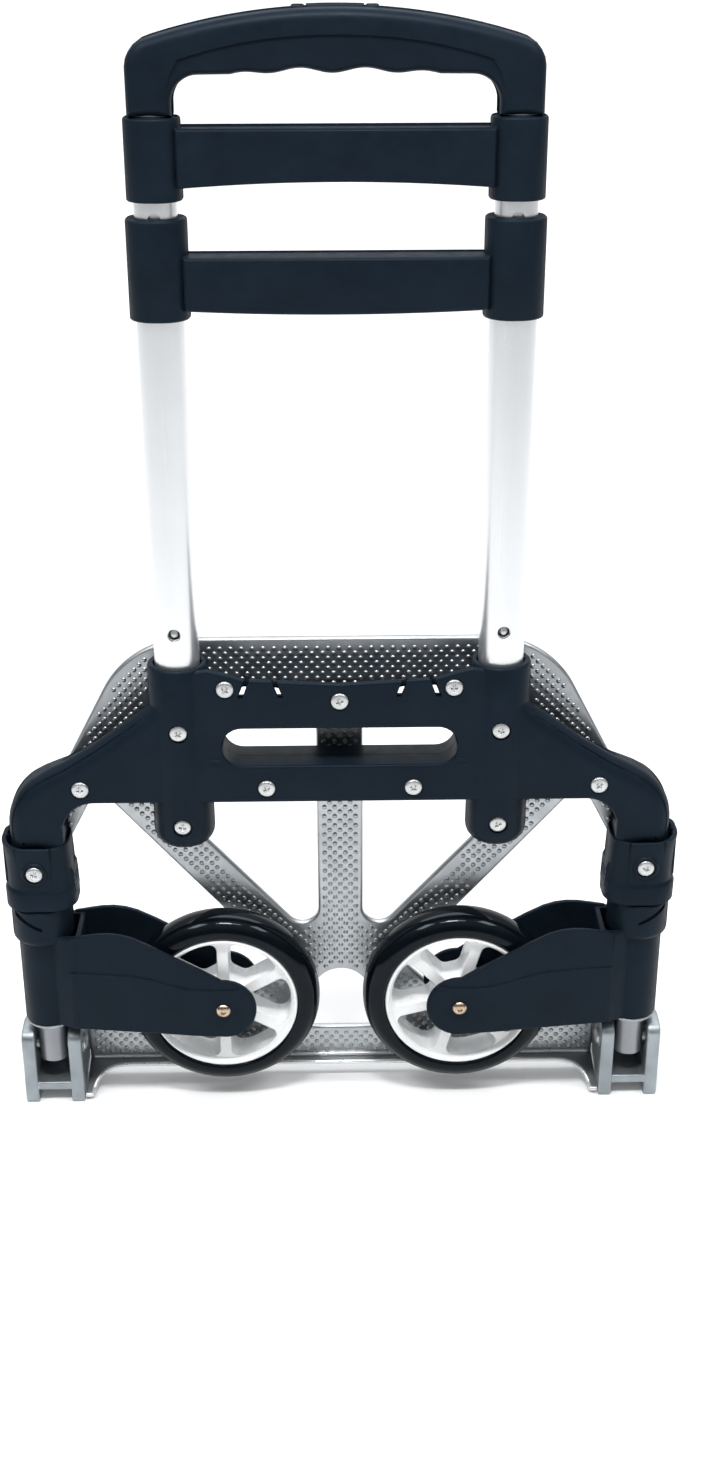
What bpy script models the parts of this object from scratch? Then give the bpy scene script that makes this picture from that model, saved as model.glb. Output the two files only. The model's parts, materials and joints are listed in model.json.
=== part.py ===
"""Folding hand truck, stood up in its folded state.

Two telescopic stages slide in a pair of tubes, the toe plate folds up flat
against the frame, and the wheel brackets swing in beside each other.

Lengths are in millimetres and become metres when a mesh is made. X runs
across the truck, Y points forward to the toe plate, Z is up. The tubes and
posts stand in the plane Y = 0 and the feet on Z = 0.
"""
import math

import bmesh
import bpy
from mathutils import Matrix, Vector

MM = 0.001
GAP = 0.3
ROUND = 20

# Telescopic tubes: radius outside, radius inside, lowest and highest point
TUBE_X = 91.0
OUTER_TUBE = (12.7, 11.5, 190.0, 531.0)
MIDDLE_TUBE = (11.1, 10.0, 300.0, 581.0)
INNER_TUBE = (9.6, 8.5, 335.0, 604.0)
STAGE_TRAVEL = 190.0

# Wheels stand on the same floor as the toe plate once both are unfolded
POST_X = 178.5
POST_R = 9.5
WHEEL_R = 57.0
WHEEL_WIDTH = 25.0
AXLE_X = 71.5
AXLE_Z = 71.0
FORK_HALF = 18.7
CHEEK = 3.7
SLEEVE_Z = (58.5, 139.6)
RIM_R = 44.7
HUB_R = 10.5
AXLE_R = 3.0
SPOKES = 6

# Toe plate and its hinge blocks
LOAD_FACE_Y = 19.2
SHEET = 1.6
PLATE_BACK_Y = 23.2
PIN_Z = AXLE_Z - WHEEL_R + PLATE_BACK_Y
PIN_R = 3.6
EAR_FRONT_Y = -12.0
ARCH_WINDOW_R = 17.0
ARCH_WINDOW_Z = 58.3
RIVET_X = 152.0
RIVET_Z = 40.0
RIVET_R = 2.0

# Main body: two shells that meet at Y = 0
BODY_HALF_DEPTH = 15.5
WALL = 2.4
SPLIT = 0.15
SOCKET_R = 17.0
SOCKET_Z = (183.6, 292.6)
SLOT_HALF = 67.0
SLOT_Z = (233.0, 256.0)
ARM_END_Z = 176.0

# Lock pins, one pair for each stage
LOCK_HOLE_Z = 312.7
LOCK_HOLE_R = 3.6
LOCK_PIN_R = 2.7
UPPER_PIN_Z = 345.0

# Handle and the release inside it: the yoke's rods end above the upper pins
HANDLE_HALF = 102.4
HANDLE_LOW = 585.0
HANDLE_TOP = 634.0
ARCH_R = 320.0
GRIP_CORNER = (67.0, 590.0)
GRIP_CORNER_R = 13.2
GRIP_SCALLOP = 1.2
GRIP_PITCH = 31.6
HANDLE_SCREW_X = 58.0
HANDLE_SCREW_Z = 615.5
BUTTON_HALF = 14.0
BUTTON_TOP = 634.9
BUTTON_TRAVEL = 4.0
YOKE_Z = (613.4, 616.5)
ROD_R = 2.4
ROD_END_Z = UPPER_PIN_Z + LOCK_PIN_R + BUTTON_TRAVEL + GAP
GUIDE_Z = (544.0, 549.0)

# Frame screws as X, Z and the Y of the seat that the head rests on
PANEL_SEAT_Y = -14.0
SOCKET_SEAT_Y = -15.4
COLLAR_SEAT_Y = -17.6
HANDLE_SEAT_Y = 12.4
SHELL_SCREWS = [
    (0.0, 273.0, PANEL_SEAT_Y),
    (-64.1, 280.8, PANEL_SEAT_Y), (64.1, 280.8, PANEL_SEAT_Y),
    (-TUBE_X, 254.7, SOCKET_SEAT_Y), (TUBE_X, 254.7, SOCKET_SEAT_Y),
    (-42.0, 218.8, PANEL_SEAT_Y), (42.0, 218.8, PANEL_SEAT_Y),
    (-148.7, 219.0, PANEL_SEAT_Y), (148.7, 219.0, PANEL_SEAT_Y),
    (-TUBE_X, 195.1, SOCKET_SEAT_Y), (TUBE_X, 195.1, SOCKET_SEAT_Y),
]
COLLAR_SCREW_Z = 165.9
SCREW_HEAD_R = 5.0
SCREW_HEAD = 1.9
SCREW_SHANK_R = 1.9
SCREW_SHANK = 9.0

SIDES = {"left": -1, "right": 1}

# Finish of each material: base colour, metallic, roughness
FINISHES = {
    "black_plastic": ((0.014, 0.020, 0.028, 1), 0.0, 0.45),
    "anodised_tube": ((0.78, 0.79, 0.80, 1), 1.0, 0.32),
    "plate_aluminium": ((0.42, 0.43, 0.44, 1), 1.0, 0.38),
    "cast_alloy": ((0.36, 0.40, 0.42, 1), 1.0, 0.45),
    "post_steel": ((0.45, 0.47, 0.48, 1), 1.0, 0.35),
    "zinc_screw": ((0.72, 0.72, 0.70, 1), 1.0, 0.25),
    "axle_steel": ((0.42, 0.32, 0.25, 1), 1.0, 0.35),
    "white_rim": ((0.86, 0.87, 0.86, 1), 0.0, 0.35),
    "tyre": ((0.006, 0.008, 0.011, 1), 0.0, 0.18),
    "spring_steel": ((0.55, 0.55, 0.56, 1), 1.0, 0.30),
}


# ---------------------------------------------------------------- helpers

def clear_scene():
    for thing in list(bpy.data.objects):
        bpy.data.objects.remove(thing, do_unlink=True)


def make_materials():
    made = {}
    for name, (colour, metallic, roughness) in FINISHES.items():
        material = bpy.data.materials.new(name)
        material.use_nodes = True
        shader = material.node_tree.nodes["Principled BSDF"]
        shader.inputs["Base Color"].default_value = colour
        shader.inputs["Metallic"].default_value = metallic
        shader.inputs["Roughness"].default_value = roughness
        made[name] = material
    return made


def to_xz(u, v, height):
    """Place an outline drawn in the XZ plane, height along Y."""
    return (u, height, v)


def to_xy(u, v, height):
    """Place an outline drawn in the XY plane, height along Z."""
    return (u, v, height)


def to_yz(u, v, height):
    """Place an outline drawn in the YZ plane, height along X."""
    return (height, u, v)


def arc(cu, cv, radius, start, end, steps):
    """Points on an arc between two angles in degrees, both ends included."""
    points = []
    for step in range(steps + 1):
        angle = math.radians(start + (end - start) * step / steps)
        points.append((cu + radius * math.cos(angle), cv + radius * math.sin(angle)))
    return points


def circle(cu, cv, radius, count=ROUND):
    return [(cu + radius * math.cos(2 * math.pi * k / count),
             cv + radius * math.sin(2 * math.pi * k / count)) for k in range(count)]


def rounded_box(cu, cv, half_u, half_v, radius, count=ROUND):
    """Anticlockwise rounded rectangle with the same number of points as a circle."""
    points = []
    per_corner = count // 4
    for corner, (sign_u, sign_v) in enumerate([(1, 1), (-1, 1), (-1, -1), (1, -1)]):
        for k in range(per_corner):
            angle = math.radians(90 * corner + 90 * (k + 0.5) / per_corner)
            points.append((cu + sign_u * (half_u - radius) + radius * math.cos(angle),
                           cv + sign_v * (half_v - radius) + radius * math.sin(angle)))
    return points


def mirrored(loop):
    """The same outline on the other side of X = 0, still anticlockwise."""
    return [(-u, v) for u, v in reversed(loop)]


def on_side(loop, side):
    return loop if side > 0 else mirrored(loop)


def inset(loop, distance):
    """Move an outline to its left, so an anticlockwise one shrinks and a hole grows."""
    moved = []
    count = len(loop)
    for k in range(count):
        before, here, after = (Vector(loop[(k + shift) % count]) for shift in (-1, 0, 1))
        incoming = (here - before).normalized()
        outgoing = (after - here).normalized()
        normal_in = Vector((-incoming.y, incoming.x))
        normal_out = Vector((-outgoing.y, outgoing.x))
        middle = (normal_in + normal_out).normalized()
        point = here + middle * (distance / max(middle.dot(normal_out), 0.5))
        moved.append((point.x, point.y))
    return moved


def region(loops, distance):
    return [inset(loop, distance) for loop in loops]


def rounded_corners(corners, radius, steps=4):
    """A polygon with each corner cut back to an arc; a corner may carry its own radius."""
    points = []
    count = len(corners)
    for k in range(count):
        before, here, after = (Vector(corners[(k + shift) % count][:2]) for shift in (-1, 0, 1))
        own = corners[k][2] if len(corners[k]) > 2 else radius
        if own == 0:
            points.append((here.x, here.y))
            continue
        back = (before - here).normalized()
        ahead = (after - here).normalized()
        half = math.acos(max(-1.0, min(1.0, back.dot(ahead)))) / 2
        reach = own / math.tan(half)
        centre = here + (back + ahead).normalized() * (own / math.sin(half))
        first = here + back * reach - centre
        last = here + ahead * reach - centre
        turn = math.atan2(first.x * last.y - first.y * last.x, first.dot(last))
        for step in range(steps + 1):
            angle = turn * step / steps
            spun = Matrix.Rotation(angle, 2) @ first
            points.append((centre.x + spun.x, centre.y + spun.y))
    return points


def finish_mesh(name, bm, material):
    bmesh.ops.recalc_face_normals(bm, faces=bm.faces)
    mesh = bpy.data.meshes.new(name)
    bm.to_mesh(mesh)
    bm.free()
    mesh.materials.append(material)
    mesh.shade_smooth()
    mesh.set_sharp_from_angle(angle=math.radians(35))
    thing = bpy.data.objects.new(name, mesh)
    bpy.context.scene.collection.objects.link(thing)
    return thing


def loft(name, layers, material, place=to_xz, ring=False):
    """Skin a stack of outlines.

    Each layer is (loops, height), and every layer has the same loops. The
    first and last are filled, or joined to each other when ring is set.
    """
    bm = bmesh.new()
    rings = []
    for loops, height in layers:
        rings.append([[bm.verts.new(Vector(place(u, v, height)) * MM) for u, v in loop]
                      for loop in loops])
    following = rings[1:] + rings[:1] if ring else rings[1:]
    for lower, upper in zip(rings, following):
        for low, high in zip(lower, upper):
            count = len(low)
            for k in range(count):
                after = (k + 1) % count
                bm.faces.new((low[k], low[after], high[after], high[k]))
    if not ring:
        for made in (rings[0], rings[-1]):
            rim = [bm.edges.get((loop[k - 1], loop[k])) for loop in made for k in range(len(loop))]
            bmesh.ops.triangle_fill(bm, edges=rim, use_beauty=True)
    return finish_mesh(name, bm, material)


def turned(name, profile, centre, material, axis="Z", count=ROUND, ring=False):
    """Revolve (radius, height) points; a solid starts and ends at radius 0."""
    place = {"X": lambda u, v, h: (h, u, v), "Y": lambda u, v, h: (v, h, u),
             "Z": lambda u, v, h: (u, v, h)}[axis]
    bm = bmesh.new()
    rings = []
    for radius, height in profile:
        if radius == 0:
            rings.append([bm.verts.new((Vector(place(0, 0, height)) + Vector(centre)) * MM)])
            continue
        rings.append([bm.verts.new((Vector(place(u, v, height)) + Vector(centre)) * MM)
                      for u, v in circle(0, 0, radius, count)])
    following = rings[1:] + rings[:1] if ring else rings[1:]
    for low, high in zip(rings, following):
        for k in range(count):
            after = (k + 1) % count
            corners = [low[k % len(low)], low[after % len(low)],
                       high[after % len(high)], high[k % len(high)]]
            face = list(dict.fromkeys(corners))
            bm.faces.new(face)
    return finish_mesh(name, bm, material)


def pipe(name, x, size, material):
    """A vertical tube of (outer radius, inner radius, low, high)."""
    outer, inner, low, high = size
    profile = [(inner, low), (outer, low), (outer, high), (inner, high)]
    return turned(name, profile, (x, 0, 0), material, ring=True)


def block(name, low, high, material):
    """A plain box between two corners."""
    loop = [(low[0], low[1]), (high[0], low[1]), (high[0], high[1]), (low[0], high[1])]
    return loft(name, [([loop], low[2]), ([loop], high[2])], material, to_xy)


def combined(name, parts):
    """Several closed meshes as one operand for a Boolean."""
    bm = bmesh.new()
    for part in parts:
        bm.from_mesh(part.data)
    mesh = bpy.data.meshes.new(name)
    bm.to_mesh(mesh)
    bm.free()
    for part in parts:
        bpy.data.objects.remove(part, do_unlink=True)
    thing = bpy.data.objects.new(name, mesh)
    bpy.context.scene.collection.objects.link(thing)
    return thing


def operate(target, operand, operation):
    operand.hide_render = True
    operand.display_type = "WIRE"
    modifier = target.modifiers.new(operand.name, "BOOLEAN")
    modifier.object = operand
    modifier.operation = operation
    modifier.solver = "EXACT"
    return target


def cut(target, operand):
    return operate(target, operand, "DIFFERENCE")


def fuse(target, operand):
    return operate(target, operand, "UNION")


def rod(name, centre, radius, low, high, axis, material, count=ROUND):
    profile = [(0, low), (radius, low), (radius, high), (0, high)]
    return turned(name, profile, centre, material, axis, count)


# ---------------------------------------------------------- frame and body

def body_outline(face):
    """Panel, arms and their bent ends, without the tube sockets.

    The front half's upper edge is lower, and the rear half's has two tabs.
    """
    half = [(0.0, 209.5), (142.0, 209.5)]
    half += arc(142.0, 191.0, 18.5, 90, 0, 5)[1:]
    half += [(160.5, ARM_END_Z), (192.5, ARM_END_Z)]
    half += arc(158.0, 193.5, 34.5, 0, 62, 6)
    if face > 0:
        half += [(158.5, 230.5), (139.0, 241.0), (122.0, 251.5), (108.0, 261.5), (100.0, 270.0)]
        half += [(86.0, 275.0), (74.0, 275.0), (57.0, 272.0)]
        other = mirrored(half)
        return half + [(0.0, 270.0)] + other[:-1]
    half += [(158.5, 232.2), (139.0, 245.2), (122.0, 259.0), (108.0, 270.5), (100.0, 284.0)]
    half += [(74.0, 289.0), (57.0, 285.0), (50.8, 283.6)]
    half += [(55.3, 273.5), (52.7, 273.5), (49.2, 283.0)]
    half += [(40.2, 283.0), (36.3, 273.5), (33.7, 273.5), (37.2, 282.4)]
    other = mirrored(half)
    return half + [(0.0, 281.6)] + other[:-1]


def body_slot():
    radius = (SLOT_Z[1] - SLOT_Z[0]) / 2
    middle = (SLOT_Z[0] + SLOT_Z[1]) / 2
    loop = arc(SLOT_HALF - radius, middle, radius, -90, 90, 6)
    loop += arc(-SLOT_HALF + radius, middle, radius, 90, 270, 6)
    return list(reversed(loop))


def half_disc(x, radius, face):
    """Half of a socket's section: the bulge lies on the face side of the split."""
    start = 180 if face < 0 else 0
    return arc(x, face * SPLIT, radius, start, start + 180, 9)


def socket_half(name, x, face, material):
    low, high = SOCKET_Z
    heights = [(13.4, low), (15.6, low + 3.0), (SOCKET_R, low + 9.0),
               (SOCKET_R, high - 1.2), (SOCKET_R - 1.0, high)]
    layers = [([half_disc(x, radius, face)], height) for radius, height in heights]
    return loft(name, layers, material, to_xy)


def main_shell(name, face, materials):
    """One half of the body: face is -1 for the rear half and 1 for the front."""
    plastic = materials["black_plastic"]
    loops = [body_outline(face), body_slot()]
    steps = [(2.8, BODY_HALF_DEPTH), (0.0, BODY_HALF_DEPTH - 2.4), (0.0, SPLIT), (WALL, SPLIT),
             (WALL, BODY_HALF_DEPTH - 2.8)]
    layers = [(region(loops, distance), face * depth) for distance, depth in steps]
    shell = loft(name, layers, plastic)
    for side_name, side in SIDES.items():
        fuse(shell, socket_half(f"{name}_{side_name}_socket", side * TUBE_X, face, plastic))
    bores = []
    for side in SIDES.values():
        bores.append(rod("bore", (side * TUBE_X, 0, 0), OUTER_TUBE[0] + GAP,
                         OUTER_TUBE[2] - 1.0, 320.0, "Z", plastic))
        bores.append(rod("bore", (side * POST_X, 0, 0), POST_R + GAP, 160.0, 194.0,
                         "Z", plastic))
    cut(shell, combined(f"{name}_bores", bores))
    if face < 0:
        cut(shell, combined(f"{name}_screw_holes",
                            [screw_hole(x, z, seat, plastic) for x, z, seat in SHELL_SCREWS]))
    return shell


def screw_hole(x, z, seat, material, face=-1):
    """Counterbore for the head with a clearance hole for the shank behind it."""
    wide = SCREW_HEAD_R + 0.6
    narrow = SCREW_SHANK_R + GAP
    deep = seat - face * 8.5
    profile = [(0, face * 40.0), (wide, face * 40.0), (wide, seat), (narrow, seat),
               (narrow, deep), (0, deep)]
    return turned("hole", profile, (x, 0, z), material, "Y", 8)


def screw_mesh(name, material):
    """Domed head at -Y with a cross recess, and a shank along +Y."""
    profile = [(0, -SCREW_HEAD), (3.3, -SCREW_HEAD), (SCREW_HEAD_R, -0.3), (SCREW_SHANK_R, 0),
               (SCREW_SHANK_R, SCREW_SHANK), (0, SCREW_SHANK)]
    made = turned(name, profile, (0, 0, 0), material, "Y", 10)
    arm = 2.4
    width = 0.5
    cross = [(arm, -width), (arm, width), (width, width), (width, arm), (-width, arm),
             (-width, width), (-arm, width), (-arm, -width), (-width, -width),
             (-width, -arm), (width, -arm), (width, -width)]
    turn = Matrix.Rotation(math.radians(8), 2)
    cross = [tuple(turn @ Vector(point)) for point in cross]
    recess = loft(f"{name}_recess", [([cross], -4.0), ([cross], -0.9)], material)
    cut(made, recess)
    return made


def screws(materials):
    """All cross-head screws of the frame and the handle."""
    steel = materials["zinc_screw"]
    pattern = screw_mesh("screw_pattern", steel)
    graph = bpy.context.evaluated_depsgraph_get()
    shared = bpy.data.meshes.new_from_object(pattern.evaluated_get(graph))
    shared.name = "cross_head_screw"
    for unused in (pattern, bpy.data.objects["screw_pattern_recess"]):
        bpy.data.objects.remove(unused, do_unlink=True)
    places = [(f"shell_screw_{k + 1:02d}", x, seat, z, 0)
              for k, (x, z, seat) in enumerate(SHELL_SCREWS)]
    for side_name, side in SIDES.items():
        places.append((f"{side_name}_collar_screw", side * POST_X, COLLAR_SEAT_Y,
                       COLLAR_SCREW_Z, 0))
    made = {}
    for name, x, y, z, turn in places:
        thing = bpy.data.objects.new(name, shared)
        thing.location = Vector((x, y, z)) * MM
        thing.rotation_euler = (0, 0, turn)
        bpy.context.scene.collection.objects.link(thing)
        made[name] = thing
    for side_name, side in SIDES.items():
        thing = bpy.data.objects.new(f"{side_name}_handle_screw", shared)
        thing.location = Vector((side * HANDLE_SCREW_X, HANDLE_SEAT_Y, HANDLE_SCREW_Z)) * MM
        thing.rotation_euler = (0, 0, math.pi)
        bpy.context.scene.collection.objects.link(thing)
        made[thing.name] = thing
    return made


def outer_tube(name, x, materials):
    alloy = materials["anodised_tube"]
    tube = pipe(name, x, OUTER_TUBE, alloy)
    holes = [rod("hole", (x, 0, z), LOCK_HOLE_R, -20.0, -5.0, "Y", alloy, 10)
             for z in (LOCK_HOLE_Z, LOCK_HOLE_Z + STAGE_TRAVEL)]
    holes += [rod("hole", (x, 0, z), SCREW_SHANK_R + GAP, -20.0, -5.0, "Y", alloy, 10)
              for z in (195.1, 254.7)]
    return cut(tube, combined(f"{name}_holes", holes))


def middle_tube(name, x, materials):
    alloy = materials["anodised_tube"]
    tube = pipe(name, x, MIDDLE_TUBE, alloy)
    holes = [rod("hole", (x, 0, z), LOCK_HOLE_R - 0.4, -20.0, -5.0, "Y", alloy, 10)
             for z in (LOCK_HOLE_Z, UPPER_PIN_Z, UPPER_PIN_Z + STAGE_TRAVEL)]
    return cut(tube, combined(f"{name}_holes", holes))


def inner_tube(name, x, materials):
    alloy = materials["anodised_tube"]
    tube = pipe(name, x, INNER_TUBE, alloy)
    hole = rod(f"{name}_hole", (x, 0, UPPER_PIN_Z), LOCK_HOLE_R - 0.8, -20.0, -4.0, "Y", alloy, 10)
    return cut(tube, hole)


def lock_pin(name, x, z, tip_y, materials):
    """A domed pin that points to the rear through the tube walls."""
    profile = [(0, tip_y), (1.5, tip_y + 0.3), (LOCK_PIN_R - 0.4, tip_y + 1.1),
               (LOCK_PIN_R - 0.2, tip_y + 2.4), (LOCK_PIN_R - 0.2, 3.0), (0, 3.0)]
    return turned(name, profile, (x, 0, z), materials["zinc_screw"], "Y", 12)


def crossbar(name, sleeve, bar, bore, lip, materials):
    """A cross member with a sleeve on each tube.

    sleeve is (half width, half depth, low, high), bar the outline's (low at
    the middle, low at the ends, high), bore and lip are (radius, top).
    """
    plastic = materials["black_plastic"]
    half_u, half_v, low, high = sleeve
    bar_middle, bar_end, bar_top = bar
    reach = TUBE_X - 10.0
    underside = [(reach * k / 5, bar_middle + (bar_end - bar_middle) * (k / 5) ** 2)
                 for k in range(-5, 6)]
    loop = underside + [(reach, bar_top), (-reach, bar_top)]
    layers = [([inset(loop, 1.2)], -12.6), ([loop], -11.0), ([loop], 10.0), ([inset(loop, 1.2)], 11.4)]
    made = loft(name, layers, plastic)
    for side_name, side in SIDES.items():
        centre = side * TUBE_X
        outline = rounded_box(centre, 0, half_u, half_v, half_u - 1.5)
        rim = rounded_box(centre, 0, half_u - 1.0, half_v - 1.0, half_u - 2.5)
        stack = [([rim], low), ([outline], low + 1.4), ([outline], high - 1.4), ([rim], high)]
        fuse(made, loft(f"{name}_{side_name}_sleeve", stack, plastic, to_xy))
    bores = []
    for side in SIDES.values():
        profile = [(0, low - 5), (bore[0], low - 5), (bore[0], bore[1]), (lip[0], bore[1]),
                   (lip[0], high + 5), (0, high + 5)]
        bores.append(turned("bore", profile, (side * TUBE_X, 0, 0), plastic))
    return cut(made, combined(f"{name}_bores", bores))


def post(name, x, materials):
    """The tube that a wheel bracket turns on, rounded about the hinge pin below."""
    outer, inner, top = POST_R, POST_R - 1.8, 192.0
    end_radius = 12.5

    def end_height(v):
        return PIN_Z - math.sqrt(end_radius ** 2 - v ** 2)

    bm = bmesh.new()
    rings = []
    for radius, at_top in ((inner, False), (outer, False), (outer, True), (inner, True)):
        rings.append([bm.verts.new(Vector((x + u, v, top if at_top else end_height(v))) * MM)
                      for u, v in circle(0, 0, radius)])
    for low, high in zip(rings, rings[1:] + rings[:1]):
        for k in range(len(low)):
            after = (k + 1) % len(low)
            bm.faces.new((low[k], low[after], high[after], high[k]))
    made = finish_mesh(name, bm, materials["post_steel"])
    steel = materials["post_steel"]
    holes = [rod("hole", (x, 0, PIN_Z), PIN_R + GAP, -20, 20, "X", steel),
             rod("hole", (x, 0, COLLAR_SCREW_Z), SCREW_SHANK_R + GAP, -20, -4, "Y", steel, 10)]
    return cut(made, combined(f"{name}_holes", holes))


def collar(name, side, materials):
    """Cup that joins the body's arm to the post and carries the fixed half of the cam."""
    plastic = materials["black_plastic"]
    centre = side * 177.0

    def ring_at(half_u, half_v):
        return [rounded_box(centre, 0, half_u, half_v, min(half_u, half_v) - 0.5)]

    bore = [rounded_box(side * POST_X, 0, POST_R + GAP, POST_R + GAP, POST_R + GAP)]
    cup = [rounded_box(side * 176.5, 0, 16.5, BODY_HALF_DEPTH + 0.5, 6.0)]
    layers = [(ring_at(20.4, 18.2), 140.5), (ring_at(21.2, 18.6), 141.5),
              (ring_at(21.2, 18.6), 149.0), (ring_at(20.2, 17.9), 150.2),
              (ring_at(20.2, 17.9), 170.0), (ring_at(21.0, 18.5), 181.0),
              (ring_at(20.6, 18.3), 186.5), (cup, 186.5), (cup, ARM_END_Z - GAP),
              (bore, ARM_END_Z - GAP), (bore, 140.5)]
    made = loft(name, layers, plastic, to_xy, ring=True)
    return cut(made, named(screw_hole(side * POST_X, COLLAR_SCREW_Z, COLLAR_SEAT_Y, plastic),
                           f"{name}_screw_hole"))


def named(thing, name):
    thing.name = name
    return thing


# ------------------------------------------------------------------ handle

def handle_outline(within=0.0):
    """Arched grip with two legs, drawn this far inside the outer surface."""
    low = HANDLE_LOW + within
    radius = GRIP_CORNER_R + within
    arch = ARCH_R - within
    reach = math.degrees(math.asin((92.0 - 0.6 * within) / arch))
    half = HANDLE_HALF - within
    outer = [(half, low), (half, 607.5 - 0.3 * within), (half - 1.8, 613.8 - 0.5 * within),
             (half - 5.2 + 0.2 * within, 618.2 - 0.7 * within)]
    outer += arc(0.0, HANDLE_TOP - ARCH_R, arch, 90 - reach, 90, 8)
    outer += mirrored(outer[:-1])
    rise = max(0.0, (low - GRIP_CORNER[1]) / radius)
    corner = math.degrees(math.asin(rise))
    foot = (GRIP_CORNER[0] + radius * math.cos(math.radians(corner)), low)
    bend = arc(*GRIP_CORNER, radius, corner + 9, 90, 5)
    scallops = []
    for k in range(-9, 10):
        x = k * 5.2
        fade = max(0.0, 1.0 - (abs(x) / 50.0) ** 4)
        dip = GRIP_SCALLOP * fade * math.cos(2 * math.pi * x / GRIP_PITCH)
        scallops.append((x, GRIP_CORNER[1] + radius + 1.8 * fade - dip))
    left = [(-foot[0], foot[1])] + [(-u, v) for u, v in bend]
    return outer + left + scallops + mirrored(left)


def handle_shell(name, face, materials):
    plastic = materials["black_plastic"]
    steps = [(5.0, 14.0), (2.4, 12.9), (0.8, 10.6), (0.0, 7.5), (0.0, SPLIT), (WALL, SPLIT),
             (WALL + 1.0, 9.2)]
    layers = [([handle_outline(within)], face * depth) for within, depth in steps]
    shell = loft(name, layers, plastic)
    bores = [rod("bore", (side * TUBE_X, 0, 0), INNER_TUBE[0] + GAP, 570.0,
                 INNER_TUBE[3] + 1.0, "Z", plastic) for side in SIDES.values()]
    bores.append(block("button_mouth", (-BUTTON_HALF - GAP, -6.3, 626.0),
                       (BUTTON_HALF + GAP, 6.3, 640.0), plastic))
    cut(shell, combined(f"{name}_bores", bores))
    if face > 0:
        holes = [screw_hole(side * HANDLE_SCREW_X, HANDLE_SCREW_Z, HANDLE_SEAT_Y, plastic, 1)
                 for side in SIDES.values()]
        cut(shell, combined(f"{name}_screw_holes", holes))
    return shell


def release_button(materials):
    crown = [(x, BUTTON_TOP - x * x / (2 * ARCH_R)) for x in (BUTTON_HALF, 7.0, 0.0, -7.0, -BUTTON_HALF)]
    loop = [(-BUTTON_HALF, YOKE_Z[1] + GAP), (BUTTON_HALF, YOKE_Z[1] + GAP)] + crown
    layers = [([inset(loop, 0.7)], -6.0), ([loop], -5.3), ([loop], 5.3), ([inset(loop, 0.7)], 6.0)]
    return loft("release_button", layers, materials["black_plastic"])


def release_yoke(materials):
    """Bar inside the grip with a push rod down each inner tube."""
    steel = materials["spring_steel"]
    reach = TUBE_X + 3.0
    low, high = YOKE_Z
    loop = [(-reach, low), (reach, low), (reach, high), (-reach, high)]
    yoke = loft("release_yoke", [([loop], -3.4), ([loop], 3.4)], steel)
    for side_name, side in SIDES.items():
        profile = [(0, ROD_END_Z), (1.2, ROD_END_Z), (ROD_R, ROD_END_Z + 3), (ROD_R, 574.0),
                   (6.8, 574.0), (6.8, 576.0), (ROD_R, 576.0), (ROD_R, low + 2), (0, low + 2)]
        fuse(yoke, turned(f"push_rod_{side_name}", profile, (side * TUBE_X, 0, 0), steel, count=12))
    return yoke


def rod_guide(name, x, materials):
    """Bush in the inner tube that the rod runs in and the spring stands on."""
    low, high = GUIDE_Z
    profile = [(ROD_R + GAP, low), (INNER_TUBE[1] - 0.05, low), (INNER_TUBE[1] - 0.05, high),
               (ROD_R + GAP, high)]
    return turned(name, profile, (x, 0, 0), materials["black_plastic"], ring=True)


def return_spring(name, x, materials):
    """Coil between the rod guide and the rod's flange."""
    wire = 0.5
    low = GUIDE_Z[1] + wire + GAP
    high = 574.0 - wire - GAP
    turns = 5
    steps = turns * 8
    curve = bpy.data.curves.new(name, "CURVE")
    curve.dimensions = "3D"
    curve.bevel_depth = wire * MM
    curve.bevel_resolution = 0
    curve.use_fill_caps = True
    spline = curve.splines.new("POLY")
    spline.points.add(steps)
    for k in range(steps + 1):
        angle = 2 * math.pi * turns * k / steps
        spot = Vector((x + 5.0 * math.cos(angle), 5.0 * math.sin(angle),
                       low + (high - low) * k / steps)) * MM
        spline.points[k].co = (*spot, 1.0)
    curve.materials.append(materials["spring_steel"])
    thing = bpy.data.objects.new(name, curve)
    bpy.context.scene.collection.objects.link(thing)
    return thing


# ------------------------------------------------------------------ wheels

def cheek_outline():
    """Side of the right wheel bracket, from the sleeve to the round axle end."""
    loop = [(166.0, 58.5), (166.0, 121.5), (152.0, 123.4), (138.0, 124.8), (124.0, 121.5),
            (113.0, 115.5), (101.0, 107.8), (84.5, 98.7), (73.5, 91.6)]
    return loop + arc(AXLE_X, AXLE_Z, 20.0, 92, 265, 12)


def wheel_bracket(name, side, materials):
    """Sleeve on the post with a fork whose two cheeks hold the axle."""
    plastic = materials["black_plastic"]
    centre = side * POST_X
    low, high = SLEEVE_Z
    profile = [(0, low), (15.2, low), (15.2, 116.0), (18.2, 117.5), (18.2, high), (0, high)]
    made = turned(name, profile, (centre, 0, 0), plastic)
    loop = on_side(cheek_outline(), side)
    for end, face in (("rear", -1), ("front", 1)):
        layers = [([inset(loop, 0.9)], face * FORK_HALF), ([loop], face * (FORK_HALF - 0.9)),
                  ([loop], face * (FORK_HALF - CHEEK))]
        fuse(made, loft(f"{name}_{end}_cheek", layers, plastic))
    near, far = sorted((side * 152.0, side * 171.0))
    web = block(f"{name}_web", (near, -FORK_HALF + 0.4, 59.2), (far, FORK_HALF - 0.4, 116.4), plastic)
    fuse(made, web)
    axle_hole = [(0, -40), (AXLE_R + GAP, -40), (AXLE_R + GAP, 16.3), (5.2, 16.3), (5.2, 40), (0, 40)]
    holes = [rod("hole", (centre, 0, 0), POST_R + GAP, 40, 150, "Z", plastic),
             turned("hole", axle_hole, (side * AXLE_X, 0, AXLE_Z), plastic, "Y", 12)]
    return cut(made, combined(f"{name}_holes", holes))


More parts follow.
